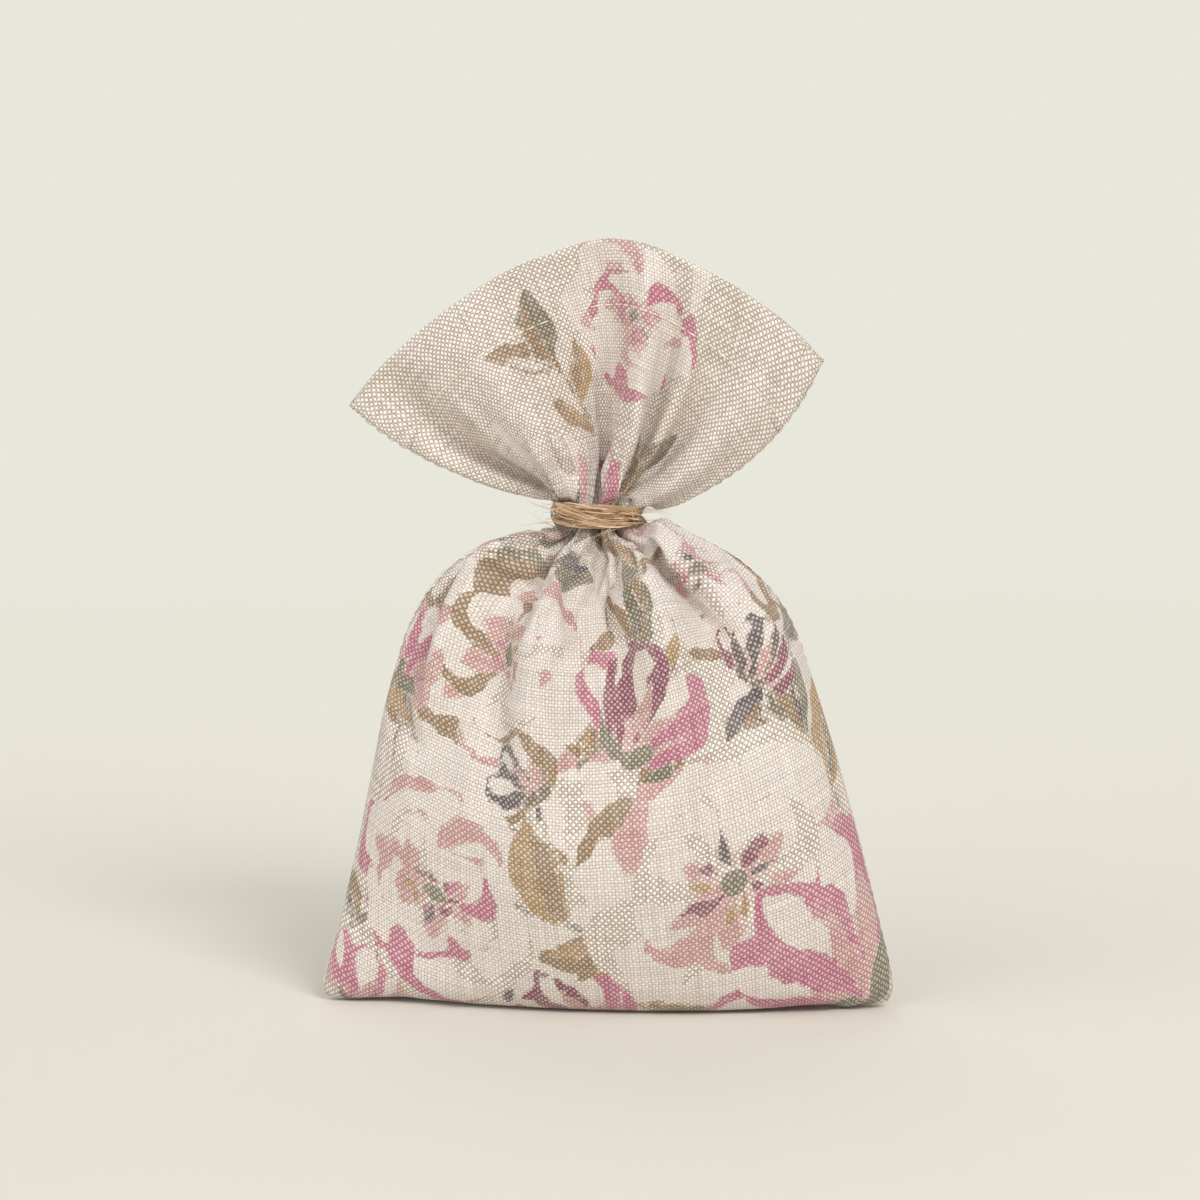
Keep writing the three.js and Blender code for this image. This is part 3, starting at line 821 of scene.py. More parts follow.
# An open flower of broad petals: each has a shaded side, a pale face and a streak or two from its foot
def paintBloom(art, at, size, seed, shades, heart):
    rng = random.Random(seed)
    tilt = rng.uniform(0, 6.28)
    for number, (count, reach, width) in enumerate([(6, 1.0, 1.0), (5, 0.66, 0.66)]):
        for k in range(count):
            heading = tilt + 0.55 * number + (k + rng.uniform(-0.2, 0.2)) * 2 * math.pi / count
            length = size / 2 * reach * rng.uniform(0.86, 1.1)
            wide = size / 2 * width * rng.uniform(0.85, 1.1)
            bend = rng.uniform(-0.15, 0.15)
            lit = rng.choice((-1, 1))
            shade = rng.choice(shades)
            art.petal(shade, at, heading - lit * 0.16, length * 1.03, wide, 0.68, bend)
            art.petal("cream", at, heading + lit * 0.06, length * 0.98, wide * 0.8, 0.68, bend)
            art.petal("blush", at, heading - lit * 0.2, length * rng.uniform(0.5, 0.8), wide * 0.4,
                      0.4, bend)
            art.petal("bare", at, heading + lit * 0.22, length * rng.uniform(0.5, 0.85), wide * 0.16,
                      0.4, bend)
            if rng.random() < 0.55:
                foot = onStroke(at, heading, length, bend, 0.16)
                art.petal(rng.choice((shade, heart)), foot, heading + rng.uniform(-0.25, 0.25),
                          length * rng.uniform(0.3, 0.55), wide * 0.15, 0.35, bend)
    for k in range(9):
        heading = tilt + k * 0.7 + rng.uniform(-0.2, 0.2)
        root = onStroke(at, heading, size * 0.05, 0, 1)
        art.petal(rng.choice((heart, "ochre", "mauve", heart)), root, heading, size * rng.uniform(0.05, 0.12),
                  size * 0.035, 0.6)
    art.spot("olive", at, size * 0.045)


# A flower seen from the side, deep in colour: cupped petals, pale where they turn over
def paintCup(art, at, heading, size, seed, deep, mid):
    rng = random.Random(seed)
    for turn, reach, ink in ((0.75, 0.9, mid), (-0.75, 0.9, mid), (0.4, 1.0, deep), (-0.4, 1.0, mid),
                             (0.0, 1.05, deep)):
        way = heading + turn + rng.uniform(-0.1, 0.1)
        long = size * reach * rng.uniform(0.92, 1.08)
        art.petal(ink, at, way, long, size * 0.5, 0.66, rng.uniform(-0.1, 0.1))
        art.petal("cream", onStroke(at, way, long, 0, 0.35), way + 0.12, long * 0.6, size * 0.2, 0.7)
        art.petal("blush", onStroke(at, way, long, 0, 0.1), way - 0.15, long * 0.6, size * 0.13, 0.5)
    art.petal("olive", at, heading + 0.9, size * 0.36, size * 0.16, 0.4)
    art.petal("olive", at, heading - 0.9, size * 0.36, size * 0.16, 0.4)


# A broad leaf, lighter on one side of its middle
def paintLeaf(art, at, heading, length, seed, ink, other):
    rng = random.Random(seed)
    wide = length * rng.uniform(0.36, 0.5)
    bend = rng.uniform(-0.22, 0.22)
    lit = rng.choice((-1, 1))
    art.petal(ink, at, heading, length, wide, 0.45, bend)
    art.petal(other, at, heading + lit * 0.1, length * 0.86, wide * 0.42, 0.5, bend)
    if rng.random() < 0.5:
        art.petal("mauve", onStroke(at, heading, length, bend, 0.1), heading - lit * 0.05, length * 0.5,
                  wide * 0.14, 0.4, bend)


# Three or four leaves on one short stem
def paintSprig(art, at, heading, length, seed, pairs):
    rng = random.Random(seed)
    bend = rng.uniform(-0.2, 0.2)
    art.petal("olive", at, heading, length * 0.8, 1.2, 0.4, bend)
    for k, t in enumerate((0.12, 0.38, 0.6, 0.72)):
        turn = heading + (0.75, -0.7, 0.55, -0.1)[k] + rng.uniform(-0.2, 0.2)
        ink, other = pairs[k % len(pairs)]
        paintLeaf(art, onStroke(at, heading, length, bend, t), turn, length * rng.uniform(0.42, 0.6),
                  rng.random(), ink, other)


warm = (("tan", "ochre"), ("ochre", "tan"), ("tan", "bare"), ("olive", "tan"))
cool = (("tan", "olive"), ("olive", "mauve"), ("mauve", "tan"), ("bare", "ochre"))
light = (("cream", "bare"), ("cream", "blush"), ("cream", "tan"))
pale = ("blush", "blush", "bare", "tan")
pink = ("rose", "blush", "rose", "bare")

# Where each side's flowers stand on the flat cloth, in mm from its bottom left corner, laid in this order.
# A wash is its place and radius; a sprig or a cup its place, heading, size and seed; a bloom its place,
# size and seed; and then their inks.
printLayout = {
    "front": {
        "washes": [(30, 52, 16), (58, 84, 17), (52, 18, 18), (96, 62, 15)],
        "sprigs": [(34, 46, 0.9, 44, 40, light), (64, 20, 2.2, 44, 41, light), (94, 60, 1.5, 40, 42, light),
                   (12, 48, 1.7, 40, 43, light), (60, 92, 0.6, 36, 44, light), (30, 6, 0.6, 40, 45, light),
                   (40, 96, 2.1, 34, 46, light), (52, 128, 0.9, 30, 47, light),
                   (50, 56, 1.1, 38, 1, warm), (60, 26, 2.7, 36, 2, warm), (88, 58, 1.0, 34, 3, cool),
                   (16, 52, 2.0, 32, 4, warm), (44, 10, 0.2, 38, 5, warm), (24, 92, 0.5, 34, 6, cool),
                   (70, 92, 1.4, 34, 7, warm), (4, 14, 1.0, 30, 8, cool), (46, 120, 1.9, 28, 9, warm),
                   (102, 30, 1.9, 34, 10, warm), (58, 50, 0.2, 30, 11, cool), (2, 82, 0.6, 28, 12, warm)],
        "blooms": [(32, 76, 44, 11, pale, "rose"), (75, 35, 52, 12, pale, "magenta"),
                   (23, 30, 38, 13, pink, "magenta"), (88, 88, 36, 14, pale, "rose"),
                   (62, 144, 30, 15, pink, "rose")],
        "cups": [(57, 60, 1.0, 22, 16, "magenta", "rose"), (99, 3, 2.1, 34, 17, "rose", "rose"),
                 (50, 4, 2.0, 17, 18, "magenta", "rose"), (6, 60, 1.2, 18, 19, "rose", "blush"),
                 (57, 106, 1.8, 16, 20, "magenta", "rose"), (7, 0, 1.3, 16, 21, "rose", "blush"),
                 (44, 52, 2.4, 12, 22, "mauve", "tan"), (84, 66, 0.7, 12, 23, "mauve", "magenta"),
                 (14, 100, 1.2, 14, 24, "mauve", "olive")],
    },
    "back": {
        "washes": [(74, 50, 16), (44, 86, 17), (50, 18, 18), (8, 60, 15)],
        "sprigs": [(70, 46, 2.2, 44, 50, light), (38, 20, 0.9, 44, 51, light), (10, 58, 1.6, 40, 52, light),
                   (92, 46, 1.4, 40, 53, light), (44, 92, 2.5, 36, 54, light), (74, 6, 2.5, 40, 55, light),
                   (62, 96, 1.0, 34, 56, light), (54, 128, 2.2, 30, 57, light),
                   (54, 56, 2.0, 38, 61, warm), (42, 26, 0.4, 36, 62, warm), (16, 58, 2.1, 34, 63, cool),
                   (88, 52, 1.1, 32, 64, warm), (60, 10, 2.9, 38, 65, warm), (80, 92, 2.6, 34, 66, cool),
                   (34, 92, 1.7, 34, 67, warm), (100, 14, 2.1, 30, 68, cool), (58, 120, 1.2, 28, 69, warm),
                   (2, 30, 1.2, 34, 70, warm), (46, 50, 2.9, 30, 71, cool), (102, 82, 2.5, 28, 72, warm)],
        "blooms": [(72, 78, 44, 31, pale, "rose"), (29, 36, 52, 32, pale, "magenta"),
                   (80, 28, 38, 33, pink, "magenta"), (16, 88, 36, 34, pale, "rose"),
                   (42, 142, 30, 35, pink, "rose")],
        "cups": [(47, 62, 2.1, 22, 36, "magenta", "rose"), (6, 4, 1.0, 32, 37, "rose", "rose"),
                 (54, 4, 1.1, 17, 38, "magenta", "rose"), (98, 60, 1.9, 18, 39, "rose", "blush"),
                 (47, 106, 1.3, 16, 40, "magenta", "rose"), (97, 0, 1.8, 16, 41, "rose", "blush"),
                 (60, 52, 0.7, 12, 42, "mauve", "tan"), (20, 66, 2.4, 12, 43, "mauve", "magenta")],
    },
}


def paintPrint(mesh, layout):
    u = (readLayer(mesh, "across") + 1) / 2 * bag["panelWidth"]
    v = readLayer(mesh, "along").copy()
    art = Print(u.astype(float), v.astype(float))
    for x, y, radius in layout["washes"]:
        art.spot("cream", (x, y), radius, 0.9)
    for x, y, heading, length, seed, pairs in layout["sprigs"]:
        paintSprig(art, (x, y), heading, length, seed, pairs)
    for x, y, size, seed, shades, heart in layout["blooms"]:
        paintBloom(art, (x, y), size, seed, shades, heart)
    for x, y, heading, size, seed, deep, mid in layout["cups"]:
        paintCup(art, (x, y), heading, size, seed, deep, mid)
    for name, inks in (("inkOne", inkNames[:4]), ("inkTwo", inkNames[4:])):
        layer = mesh.attributes.new(name, "FLOAT_COLOR", "POINT")
        values = np.stack([np.clip(art.fields[ink] * 0.25 + 0.5, 0, 1) for ink in inks], -1)
        layer.data.foreach_set("color", values.astype(np.float32).ravel())
    threads = mesh.uv_layers.new(name="threads")
    corner = np.zeros(len(mesh.loops), np.int32)
    mesh.loops.foreach_get("vertex_index", corner)
    threads.data.foreach_set("uv", np.stack([u, v], -1)[corner].astype(np.float32).ravel())


# Printed linen: plain weave of bleached warp and natural weft, matt, pigment-printed on the face, with
# painted shade in the hollows between threads
linen = {
    "pitch": 0.557,         # mm from thread to thread, both ways
    "warp": "#f8f0e8",
    "weft": "#c2b3a5",
    "warpTakes": 0.68,      # share of the ink that the raised warp threads take
    "inks": {               # colour, how much of the thread it covers, and how soft its edge is
        "cream": ("#e7ddd4", 0.76, 0.08),
        "blush": ("#c68c8a", 0.78, 0.3),
        "tan": ("#8f7049", 0.9, 0.1),
        "olive": ("#6b664a", 0.88, 0.14),
        "mauve": ("#4f444a", 0.9, 0.14),
        "rose": ("#bb597e", 0.84, 0.16),
        "magenta": ("#832d50", 0.9, 0.12),
        "ochre": ("#a9844b", 0.86, 0.12),
    },
    "bleed": 0.5,           # mm that an ink's edge wanders from thread to thread
    "sway": 0.5,            # mm that a thread wanders from its straight line
    "slub": (1.9, 0.09),    # scale of the thick places across a thread and along it
    "slubTone": 1.1,        # how much they decide which thread shows
    "uneven": 0.36,         # and how much a crossing differs from the next one
    "brush": 2.4,           # how much the brush's own marks add to the ink's edge
    "reverseInk": 0.28,     # share of the print that shows through on the reverse
    "hollowShade": (1.04, 0.3),  # brightness on the threads and in the hollows between them
    "relief": (0.1, 0.7),   # mm, and its strength
    "looks": {"Roughness": 0.88, "Specular IOR Level": 0.25, "Sheen Weight": 0.12, "Sheen Roughness": 0.5},
}


def linenMaterial(name, strength):
    mat, tree = emptyMaterial(name)
    uv = addNode(tree, "UVMap", uv_map="threads")
    parts = addNode(tree, "SeparateXYZ", {0: uv}).node.outputs

    # Threads are not quite straight or even, and each crossing of two is a cell of its own
    sway = addNode(tree, "TexNoise", {"Vector": uv, "Scale": 0.35, "Detail": 1.0}, out="Color")
    sways = addNode(tree, "SeparateXYZ", {0: sway}).node.outputs
    waves, hollows, cells, slubs = [], [], [], []
    for k in (0, 1):
        at = addNode(tree, "Math", {0: sways[k], 1: linen["sway"], 2: parts[k]}, operation="MULTIPLY_ADD")
        wave = addNode(tree, "Math", {0: at, 1: math.pi / linen["pitch"]}, operation="MULTIPLY")
        wave = addNode(tree, "Math", {0: wave}, operation="SINE")
        beside = addNode(tree, "Math", {0: wave}, operation="ABSOLUTE")
        cell = addNode(tree, "Math", {0: at, 1: 1 / linen["pitch"]}, operation="MULTIPLY")
        across, along = linen["slub"]
        stretch = (along, across, 1.0) if k else (across, along, 1.0)
        long = addNode(tree, "Mapping", {0: uv, "Scale": stretch})
        waves.append(wave)
        hollows.append(addNode(tree, "Math", {0: 1.0, 1: beside}, operation="SUBTRACT"))
        cells.append(addNode(tree, "Math", {0: cell}, operation="FLOOR"))
        slubs.append(addNode(tree, "TexNoise", {"Vector": long, "Scale": 1.0, "Detail": 2.0}))
    over = addNode(tree, "Math", {0: waves[0], 1: waves[1]}, operation="MULTIPLY")
    crown = addNode(tree, "Math", {0: over}, operation="ABSOLUTE")
    crown = addNode(tree, "Math", {0: crown, 1: 0.6}, operation="POWER")
    hole = addNode(tree, "Math", {0: hollows[0], 1: hollows[1]}, operation="MULTIPLY")

    # Slubs: each thread is thicker and paler in places
    tones = addNode(tree, "Math", {0: slubs[0], 1: slubs[1]}, operation="SUBTRACT")
    cell = addNode(tree, "CombineXYZ", {0: cells[0], 1: cells[1]})
    take = addNode(tree, "TexWhiteNoise", {"Vector": cell}, out="Value", noise_dimensions="2D")
    uneven = addNode(tree, "Math", {0: take, 1: linen["uneven"], 2: -linen["uneven"] / 2},
                     operation="MULTIPLY_ADD")
    shifted = addNode(tree, "Math", {0: over, 1: uneven}, operation="ADD")
    shifted = addNode(tree, "Math", {0: tones, 1: linen["slubTone"], 2: shifted}, operation="MULTIPLY_ADD")
    warpTop = addNode(tree, "MapRange", {0: shifted, 1: -0.1, 2: 0.5}, interpolation_type="SMOOTHSTEP")
    thread = addNode(tree, "Mix", {0: warpTop, 6: linear(linen["weft"]), 7: linear(linen["warp"])},
                     out=2, data_type="RGBA")

    # Ink takes thread by thread, so its edge is ragged at the scale of the weave
    brush = addNode(tree, "TexNoise", {"Vector": uv, "Scale": 0.55, "Detail": 4.0, "Roughness": 0.65})
    ragged = addNode(tree, "Math", {0: take, 1: 0.5, 2: -0.25}, operation="MULTIPLY_ADD")
    ragged = addNode(tree, "Math", {0: brush, 1: linen["brush"], 2: ragged}, operation="MULTIPLY_ADD")
    ragged = addNode(tree, "Math", {0: ragged, 1: linen["brush"] / 2}, operation="SUBTRACT")
    ragged = addNode(tree, "Math", {0: ragged, 1: linen["bleed"] * 0.25}, operation="MULTIPLY")
    wash = addNode(tree, "TexNoise", {"Vector": uv, "Scale": 0.11, "Detail": 3.0})
    wash = addNode(tree, "MapRange", {0: wash, 1: 0.3, 2: 0.7, 3: 0.78, 4: 1.0})
    taken = addNode(tree, "MapRange", {0: warpTop, 3: 1.0, 4: linen["warpTakes"]})
    taken = addNode(tree, "Math", {0: taken, 1: wash}, operation="MULTIPLY")
    colour = thread
    sources = []
    for layer in ("inkOne", "inkTwo"):
        read = addNode(tree, "Attribute", attribute_name=layer, attribute_type="GEOMETRY").node
        split = addNode(tree, "SeparateColor", {0: read.outputs["Color"]}).node
        sources += [split.outputs[0], split.outputs[1], split.outputs[2], read.outputs["Alpha"]]
    for ink, source in zip(inkNames, sources):
        tint, cover, soft = linen["inks"][ink]
        level = addNode(tree, "Math", {0: source, 1: ragged}, operation="ADD")
        mask = addNode(tree, "MapRange",
                       {0: level, 1: 0.5 - soft / 2, 2: 0.5 + soft / 2, 3: 0.0, 4: cover * strength},
                       interpolation_type="SMOOTHSTEP")
        fading = wash if ink == "cream" else taken
        mask = addNode(tree, "Math", {0: mask, 1: fading}, operation="MULTIPLY")
        colour = addNode(tree, "Mix", {0: mask, 6: colour, 7: linear(tint)}, out=2, data_type="RGBA")

    # Painted shade: the hollows between threads are darkened in the colour and the threads' tops a little
    # lightened, and the slubs' own tone is multiplied in
    bright, dark = linen["hollowShade"]
    hollowShade = addNode(tree, "MapRange", {0: hole, 1: 0.15, 2: 0.75, 3: bright, 4: dark})
    shade = addNode(tree, "MapRange", {0: tones, 1: -0.3, 2: 0.3, 3: 0.9, 4: 1.1})
    hollowShade = addNode(tree, "Math", {0: hollowShade, 1: shade}, operation="MULTIPLY")
    tone = addNode(tree, "CombineColor", {0: hollowShade, 1: hollowShade, 2: hollowShade})
    colour = addNode(tree, "Mix", {0: 1.0, 6: colour, 7: tone}, out=2, data_type="RGBA",
                     blend_type="MULTIPLY")
    height = addNode(tree, "Math", {0: crown, 1: hole}, operation="SUBTRACT")
    depth, reliefStrength = linen["relief"]
    bump = addNode(tree, "Bump", {"Height": height, "Distance": depth * mm, "Strength": reliefStrength})
    shader = addNode(tree, "BsdfPrincipled", {"Base Color": colour, "Normal": bump, **linen["looks"]})
    addNode(tree, "OutputMaterial", {"Surface": shader})
    return mat


# Each side of the bag, as a finished cloth panel
def makePanel(side, word):
    mesh = cutPanel(side)
    paintPrint(mesh, printLayout[word])
    mesh.name = word + "_panel_cloth"
    mesh.materials.clear()
    mesh.materials.append(printedSide)
    mesh.materials.append(plainSide)
    smoothFaces(mesh)
    piece = linkObject(word + "_panel_cloth", mesh)
    wall = piece.modifiers.new("thickness", "SOLIDIFY")
    wall.thickness = panel["thickness"] * mm
    wall.offset = -1
    wall.use_even_offset = False
    wall.material_offset = 1
    wall.material_offset_rim = 0
    dress(piece, "printed_linen", word + "_panel")
    return piece


# The finished panel's outer face as a grid of points, to lay stitches on
class Surface:
    def __init__(self, mesh):
        across, along = readLayer(mesh, "across"), readLayer(mesh, "along")
        self.nx, self.ny = columns * 2, rows * 2
        self.points = np.zeros((self.ny + 1, self.nx + 1, 3))
        self.normals = np.zeros((self.ny + 1, self.nx + 1, 3))
        for vert in mesh.vertices:
            if along[vert.index] < clothLength + 0.1:
                i = round((across[vert.index] + 1) / 2 * self.nx)
                j = round(along[vert.index] / clothLength * self.ny)
                self.points[j, i] = vert.co
                self.normals[j, i] = vert.normal

    def at(self, across, along):
        x = min(max((across + 1) / 2 * self.nx, 0), self.nx - 1e-6)
        y = min(max(along / clothLength * self.ny, 0), self.ny - 1e-6)
        i, j = int(x), int(y)
        fx, fy = x - i, y - j
        out = []
        for grid in (self.points, self.normals):
            low = grid[j, i] * (1 - fx) + grid[j, i + 1] * fx
            high = grid[j + 1, i] * (1 - fx) + grid[j + 1, i + 1] * fx
            out.append(Vector(low * (1 - fy) + high * fy))
        return out[0], out[1].normalized()


# Curve splines made into one mesh of round strands. Each strand is its points, its radius at each of them
# and its material's number.
def strandMesh(name, strands, sides, materials):
    data = bpy.data.curves.new(name, "CURVE")
    data.dimensions = "3D"
    data.bevel_depth = 1.0
    data.bevel_resolution = sides
    data.use_fill_caps = True
    for mat in materials:
        data.materials.append(mat)
    for points, radii, index in strands:
        spline = data.splines.new("POLY")
        spline.points.add(len(points) - 1)
        for spot, point, radius in zip(spline.points, points, radii):
            spot.co = (*point, 1)
            spot.radius = radius
        spline.material_index = index
        spline.use_smooth = True
    holder = linkObject(name, data)
    mesh = finishedMesh(holder)
    bpy.data.objects.remove(holder)
    bpy.data.curves.remove(data)
    mesh.name = name
    return mesh


stitch = {
    "length": 1.5,          # mm on the face
    "gap": 0.9,             # hidden under the cloth
    "radius": 0.13,
    "points": 7,            # along one stitch
    "lift": 0.75,           # radii that its middle stands off the cloth
    "dive": 1.7,            # radii that its ends lie lower
    "narrowing": 0.3,       # share by which they are thinner
    "fromEdge": 11.0,       # the hem's row, from the mouth
    "hemReach": 0.985,      # place across where the row ends
    "hemPoints": 240,
    "seamRise": 0.05,       # the seams' rows stand off the cloth by this much more
    "sideTrim": (2.0, 3.0), # the side rows stop short of the foot and the mouth by this
    "bottomTrim": (3.0, 3.0),
    "tones": ("#e6dccb", "#fbf6ec"),
    "relief": (0.04, 0.6),
    "looks": {"Roughness": 0.7, "Sheen Weight": 0.2},
}


# One stitch: up out of the cloth, along it and down again
def stitchStrand(places, sink):
    radius = stitch["radius"] * mm
    points, radii = [], []
    last = len(places) - 1
    for k, (spot, facing) in enumerate(places):
        ends = abs(2 * k / last - 1)
        lift = radius * (stitch["lift"] - stitch["dive"] * ends ** 4) - sink * mm
        points.append(spot + facing * lift)
        radii.append(radius * (1 - stitch["narrowing"] * ends ** 4))
    return points, radii, 0


def stitchRow(total, placeAt, sink=0.0):
    pitch = stitch["length"] + stitch["gap"]
    count = int(total / pitch)
    pitch = total / count
    out = []
    for k in range(count):
        start = k * pitch + stitch["gap"] / 2
        places = [placeAt(start + (pitch - stitch["gap"]) * n / (stitch["points"] - 1))
                  for n in range(stitch["points"])]
        out.append(stitchStrand(places, sink))
    return out


# A line of the bag's own points, met at a distance along it
def lineAt(line, normals, distance):
    steps = distances(line)
    spot, facing = readAlong(line, steps, distance * mm), readAlong(normals, steps, distance * mm)
    return Vector(spot), Vector(facing).normalized()


def seamRow(test, order, trim):
    found = [v for v in bagMesh.vertices if test(v.index)]
    found.sort(key=lambda v: order[v.index])
    line = np.array([v.co for v in found])
    normals = np.array([v.normal for v in found])
    total = lineLength(line) / mm - trim[0] - trim[1]
    return stitchRow(total, lambda d: lineAt(line, normals, d + trim[0]), -stitch["seamRise"])


# Spun sewing thread: two plies twisted, pale and dull, so it shows as a soft broken line
def threadMaterial():
    mat, tree = emptyMaterial("spun sewing thread")
    place = addNode(tree, "TexCoord", out="Object")
    twist = addNode(tree, "TexWave",
                    {"Vector": place, "Scale": 420.0, "Distortion": 1.5, "Detail": 1.0},
                    bands_direction="DIAGONAL")
    fuzz = addNode(tree, "TexNoise", {"Vector": place, "Scale": 900.0, "Detail": 2.0})
    mixed = addNode(tree, "Math", {0: twist, 1: fuzz}, operation="MULTIPLY")
    closeMaterial(tree, mixed, stitch["tones"], twist, stitch["relief"], stitch["looks"])
    return mat


def addThread(name, strands, node):
    mesh = strandMesh(name, strands, 2, [thread])
    smoothFaces(mesh)
    dress(linkObject(name, mesh), "sewing_thread", node)


def sewHem(side, word, surface):
    along = clothLength - stitch["fromEdge"]
    spread = np.linspace(-stitch["hemReach"], stitch["hemReach"], stitch["hemPoints"])
    line = np.array([surface.at(s, along)[0] for s in spread])
    normals = np.array([surface.at(s, along)[1] for s in spread])
    row = stitchRow(lineLength(line) / mm, lambda d: lineAt(line, normals, d))
    addThread("hem_stitches_" + word, row, "hem_thread_" + word)


def sewSeams():
    across, along = readLayer(bagMesh, "across"), readLayer(bagMesh, "along")
    for end, word in ((-1, "left"), (1, "right")):
        row = seamRow(lambda i: across[i] * end > 0.999, along, stitch["sideTrim"])
        addThread("side_seam_stitches_" + word, row, "side_seam_thread_" + word)
    row = seamRow(lambda i: along[i] < 1e-3, across, stitch["bottomTrim"])
    addThread("bottom_seam_stitches", row, "bottom_seam_thread")


# Draws the seams in, and keeps the cloth on the floor
def settleSeams(mesh):
    across, along = readLayer(mesh, "across"), readLayer(mesh, "along")
    normals = [v.normal.copy() for v in mesh.vertices]
    for vert in mesh.vertices:
        if abs(across[vert.index]) > 0.999 or along[vert.index] < 1e-3:
            vert.co -= normals[vert.index] * panel["seamGroove"] * mm
        vert.co.z = max(vert.co.z, 0.02 * mm)


settleSeams(bagMesh)
printedSide = linenMaterial("printed plain-woven linen", 1.0)
plainSide = linenMaterial("reverse of the printed linen", linen["reverseInk"])
thread = threadMaterial()
for side, word in ((-1, "front"), (1, "back")):
    piece = makePanel(side, word)
    sewHem(side, word, Surface(piece.data))
    print(word, "panel made,", len(piece.data.polygons), "faces")
sewSeams()
print("seams sewn")

# Jute twine: a loose bundle of coarse fibres, wound three times round the neck and knotted behind
twine = {
    "acrossRadius": 7.15,   # the route repeats the frame's: mm, round the neck
    "alongRadius": 6.65,
    "pitch": 1.72,
    "turns": 3,
    "knotRadius": 1.0,
    "knotLength": 8.0,
    "endLength": 10.0,
    "endSpread": 0.55,
    "endDrop": 0.75,
    "leave": math.pi / 4,   # the turns begin this far round from the knot
    "rideOut": math.pi / 4 + 0.9,       # and lie on the neck from here on
    "step": 0.6,            # between the route's points
    "bundle": 0.74,         # radius
    "innermost": 0.03,      # share of the bundle's section that holds no fibre's middle
    "fray": 1.3,            # share by which it opens at the cut ends, over frayLength
    "frayLength": 5.0,
    "fibres": 34,
    "fibreRadius": 0.085,
    "fibreSpread": (0.75, 1.3),         # how thick fibres are, thinnest and thickest, as shares of that
    "fibreUneven": 0.15,    # and how much that changes along one fibre
    "fibreTrim": 4,         # a fibre ends fewer steps than this before the cut
    "swell": (0.3, 4.3),    # how far a fibre moves in and out of the bundle, and over what length
    "wobble": (0.5, 7.0),   # and round it, as an angle
    "stray": 0.85,          # how far a fibre wanders up and down over its neighbours, mm
    "strayLengths": (5, 11),
    "strayFade": 12.0,      # less so towards the cut ends
    "bandHalf": 2.5,        # the turns are pressed into a band this high, half of it, mm
    "tilt": -0.05,          # rise of the band to the right, mm for each mm
    "bandTaper": 0.25,      # share by which the band is lower at its sides
    "sway": 0.75,           # how far a turn leans over the next one, mm
    "swayLength": 8.3,
    "lay": 0.6,             # turns of a fibre round the bundle in a centimetre
    "straight": 18.0,       # the ends aren't pressed into the band up to this length
    "straightFade": 8.0,
    "hairs": 70,
    "hairRadius": 0.055,
    "hairTaper": 0.75,
    "hairPoints": 8,
    "hairRoot": 0.8,        # share of the bundle's radius where it comes out
    "hairOut": (0.1, 0.8),  # how much it heads away from the neck, against along the twine
    "hairUp": 0.35,
    "hairCurl": 0.4,
    "hairBack": 0.1,
    "hairLengths": ((2.0, 6.5), (7.0, 11.0)),       # most of the hairs, and the others
    "hairMost": 0.8,        # share of them
    "seed": 7,
    "tones": {
        "jute fibre": ("#b88f68", "#e8c9a4"),
        "pale jute fibre": ("#e2c29d", "#fbead4"),
        "dark jute fibre": ("#84603f", "#b88b63"),
    },
    "relief": (0.03, 0.5),
    "looks": {"Roughness": 0.55, "Specular IOR Level": 0.35},
}


def inKnot(u, strand):
    turned = 2 * math.pi * u
    y = twine["alongRadius"] + twine["pitch"] + twine["knotRadius"] * (1 + strand * math.sin(turned))
    z = tieHeight - strand * twine["knotRadius"] * math.cos(turned)
    return np.array([neckMiddle + twine["knotLength"] * (u - 0.5), y, z])


def cutEnd(strand):
    root = inKnot(1 if strand > 0 else 0, strand)
    spread, drop = twine["endSpread"], twine["endDrop"]
    return [root + np.array([spread * strand * t, spread * t, -drop * t * t]) * twine["endLength"]
            for t in (0.3, 0.6, 0.85, 1)]


def twineRoute():
    knots = {strand: [inKnot(k / 8, strand) for k in range(9)] for strand in (1, -1)}
    total = 2 * math.pi * twine["turns"]
    turns = []
    for k in range(73):
        turned = lerp(twine["leave"], total - twine["leave"], k / 72)
        angle = math.pi / 2 + turned
        nearest = min(turned, total - turned)
        out = twine["pitch"] * (1 - smooth((nearest - twine["leave"]) / (twine["rideOut"] - twine["leave"])))
        z = tieHeight + twine["pitch"] * (turned / (2 * math.pi) - twine["turns"] / 2)
        turns.append(np.array([neckMiddle + (twine["acrossRadius"] + out) * math.cos(angle),
                               (twine["alongRadius"] + out) * math.sin(angle), z]))
    return np.array(cutEnd(1)[::-1] + knots[1][::-1] + turns + knots[-1][::-1] + cutEnd(-1))


# A smooth line through chosen points, as a spline with even steps
def smoothLine(points, step):
    data = bpy.data.curves.new("route", "CURVE")
    data.dimensions = "3D"
    data.resolution_u = 8
    spline = data.splines.new("BEZIER")
    spline.bezier_points.add(len(points) - 1)
    for spot, point in zip(spline.bezier_points, points):
        spot.co = point
        spot.handle_left_type = spot.handle_right_type = "AUTO"
    holder = linkObject("route", data)
    mesh = finishedMesh(holder)
    line = np.array([v.co for v in mesh.vertices])
    bpy.data.objects.remove(holder)
    bpy.data.curves.remove(data)
    bpy.data.meshes.remove(mesh)
    length = lineLength(line)
    return evenly(line, int(length / step) + 1), length


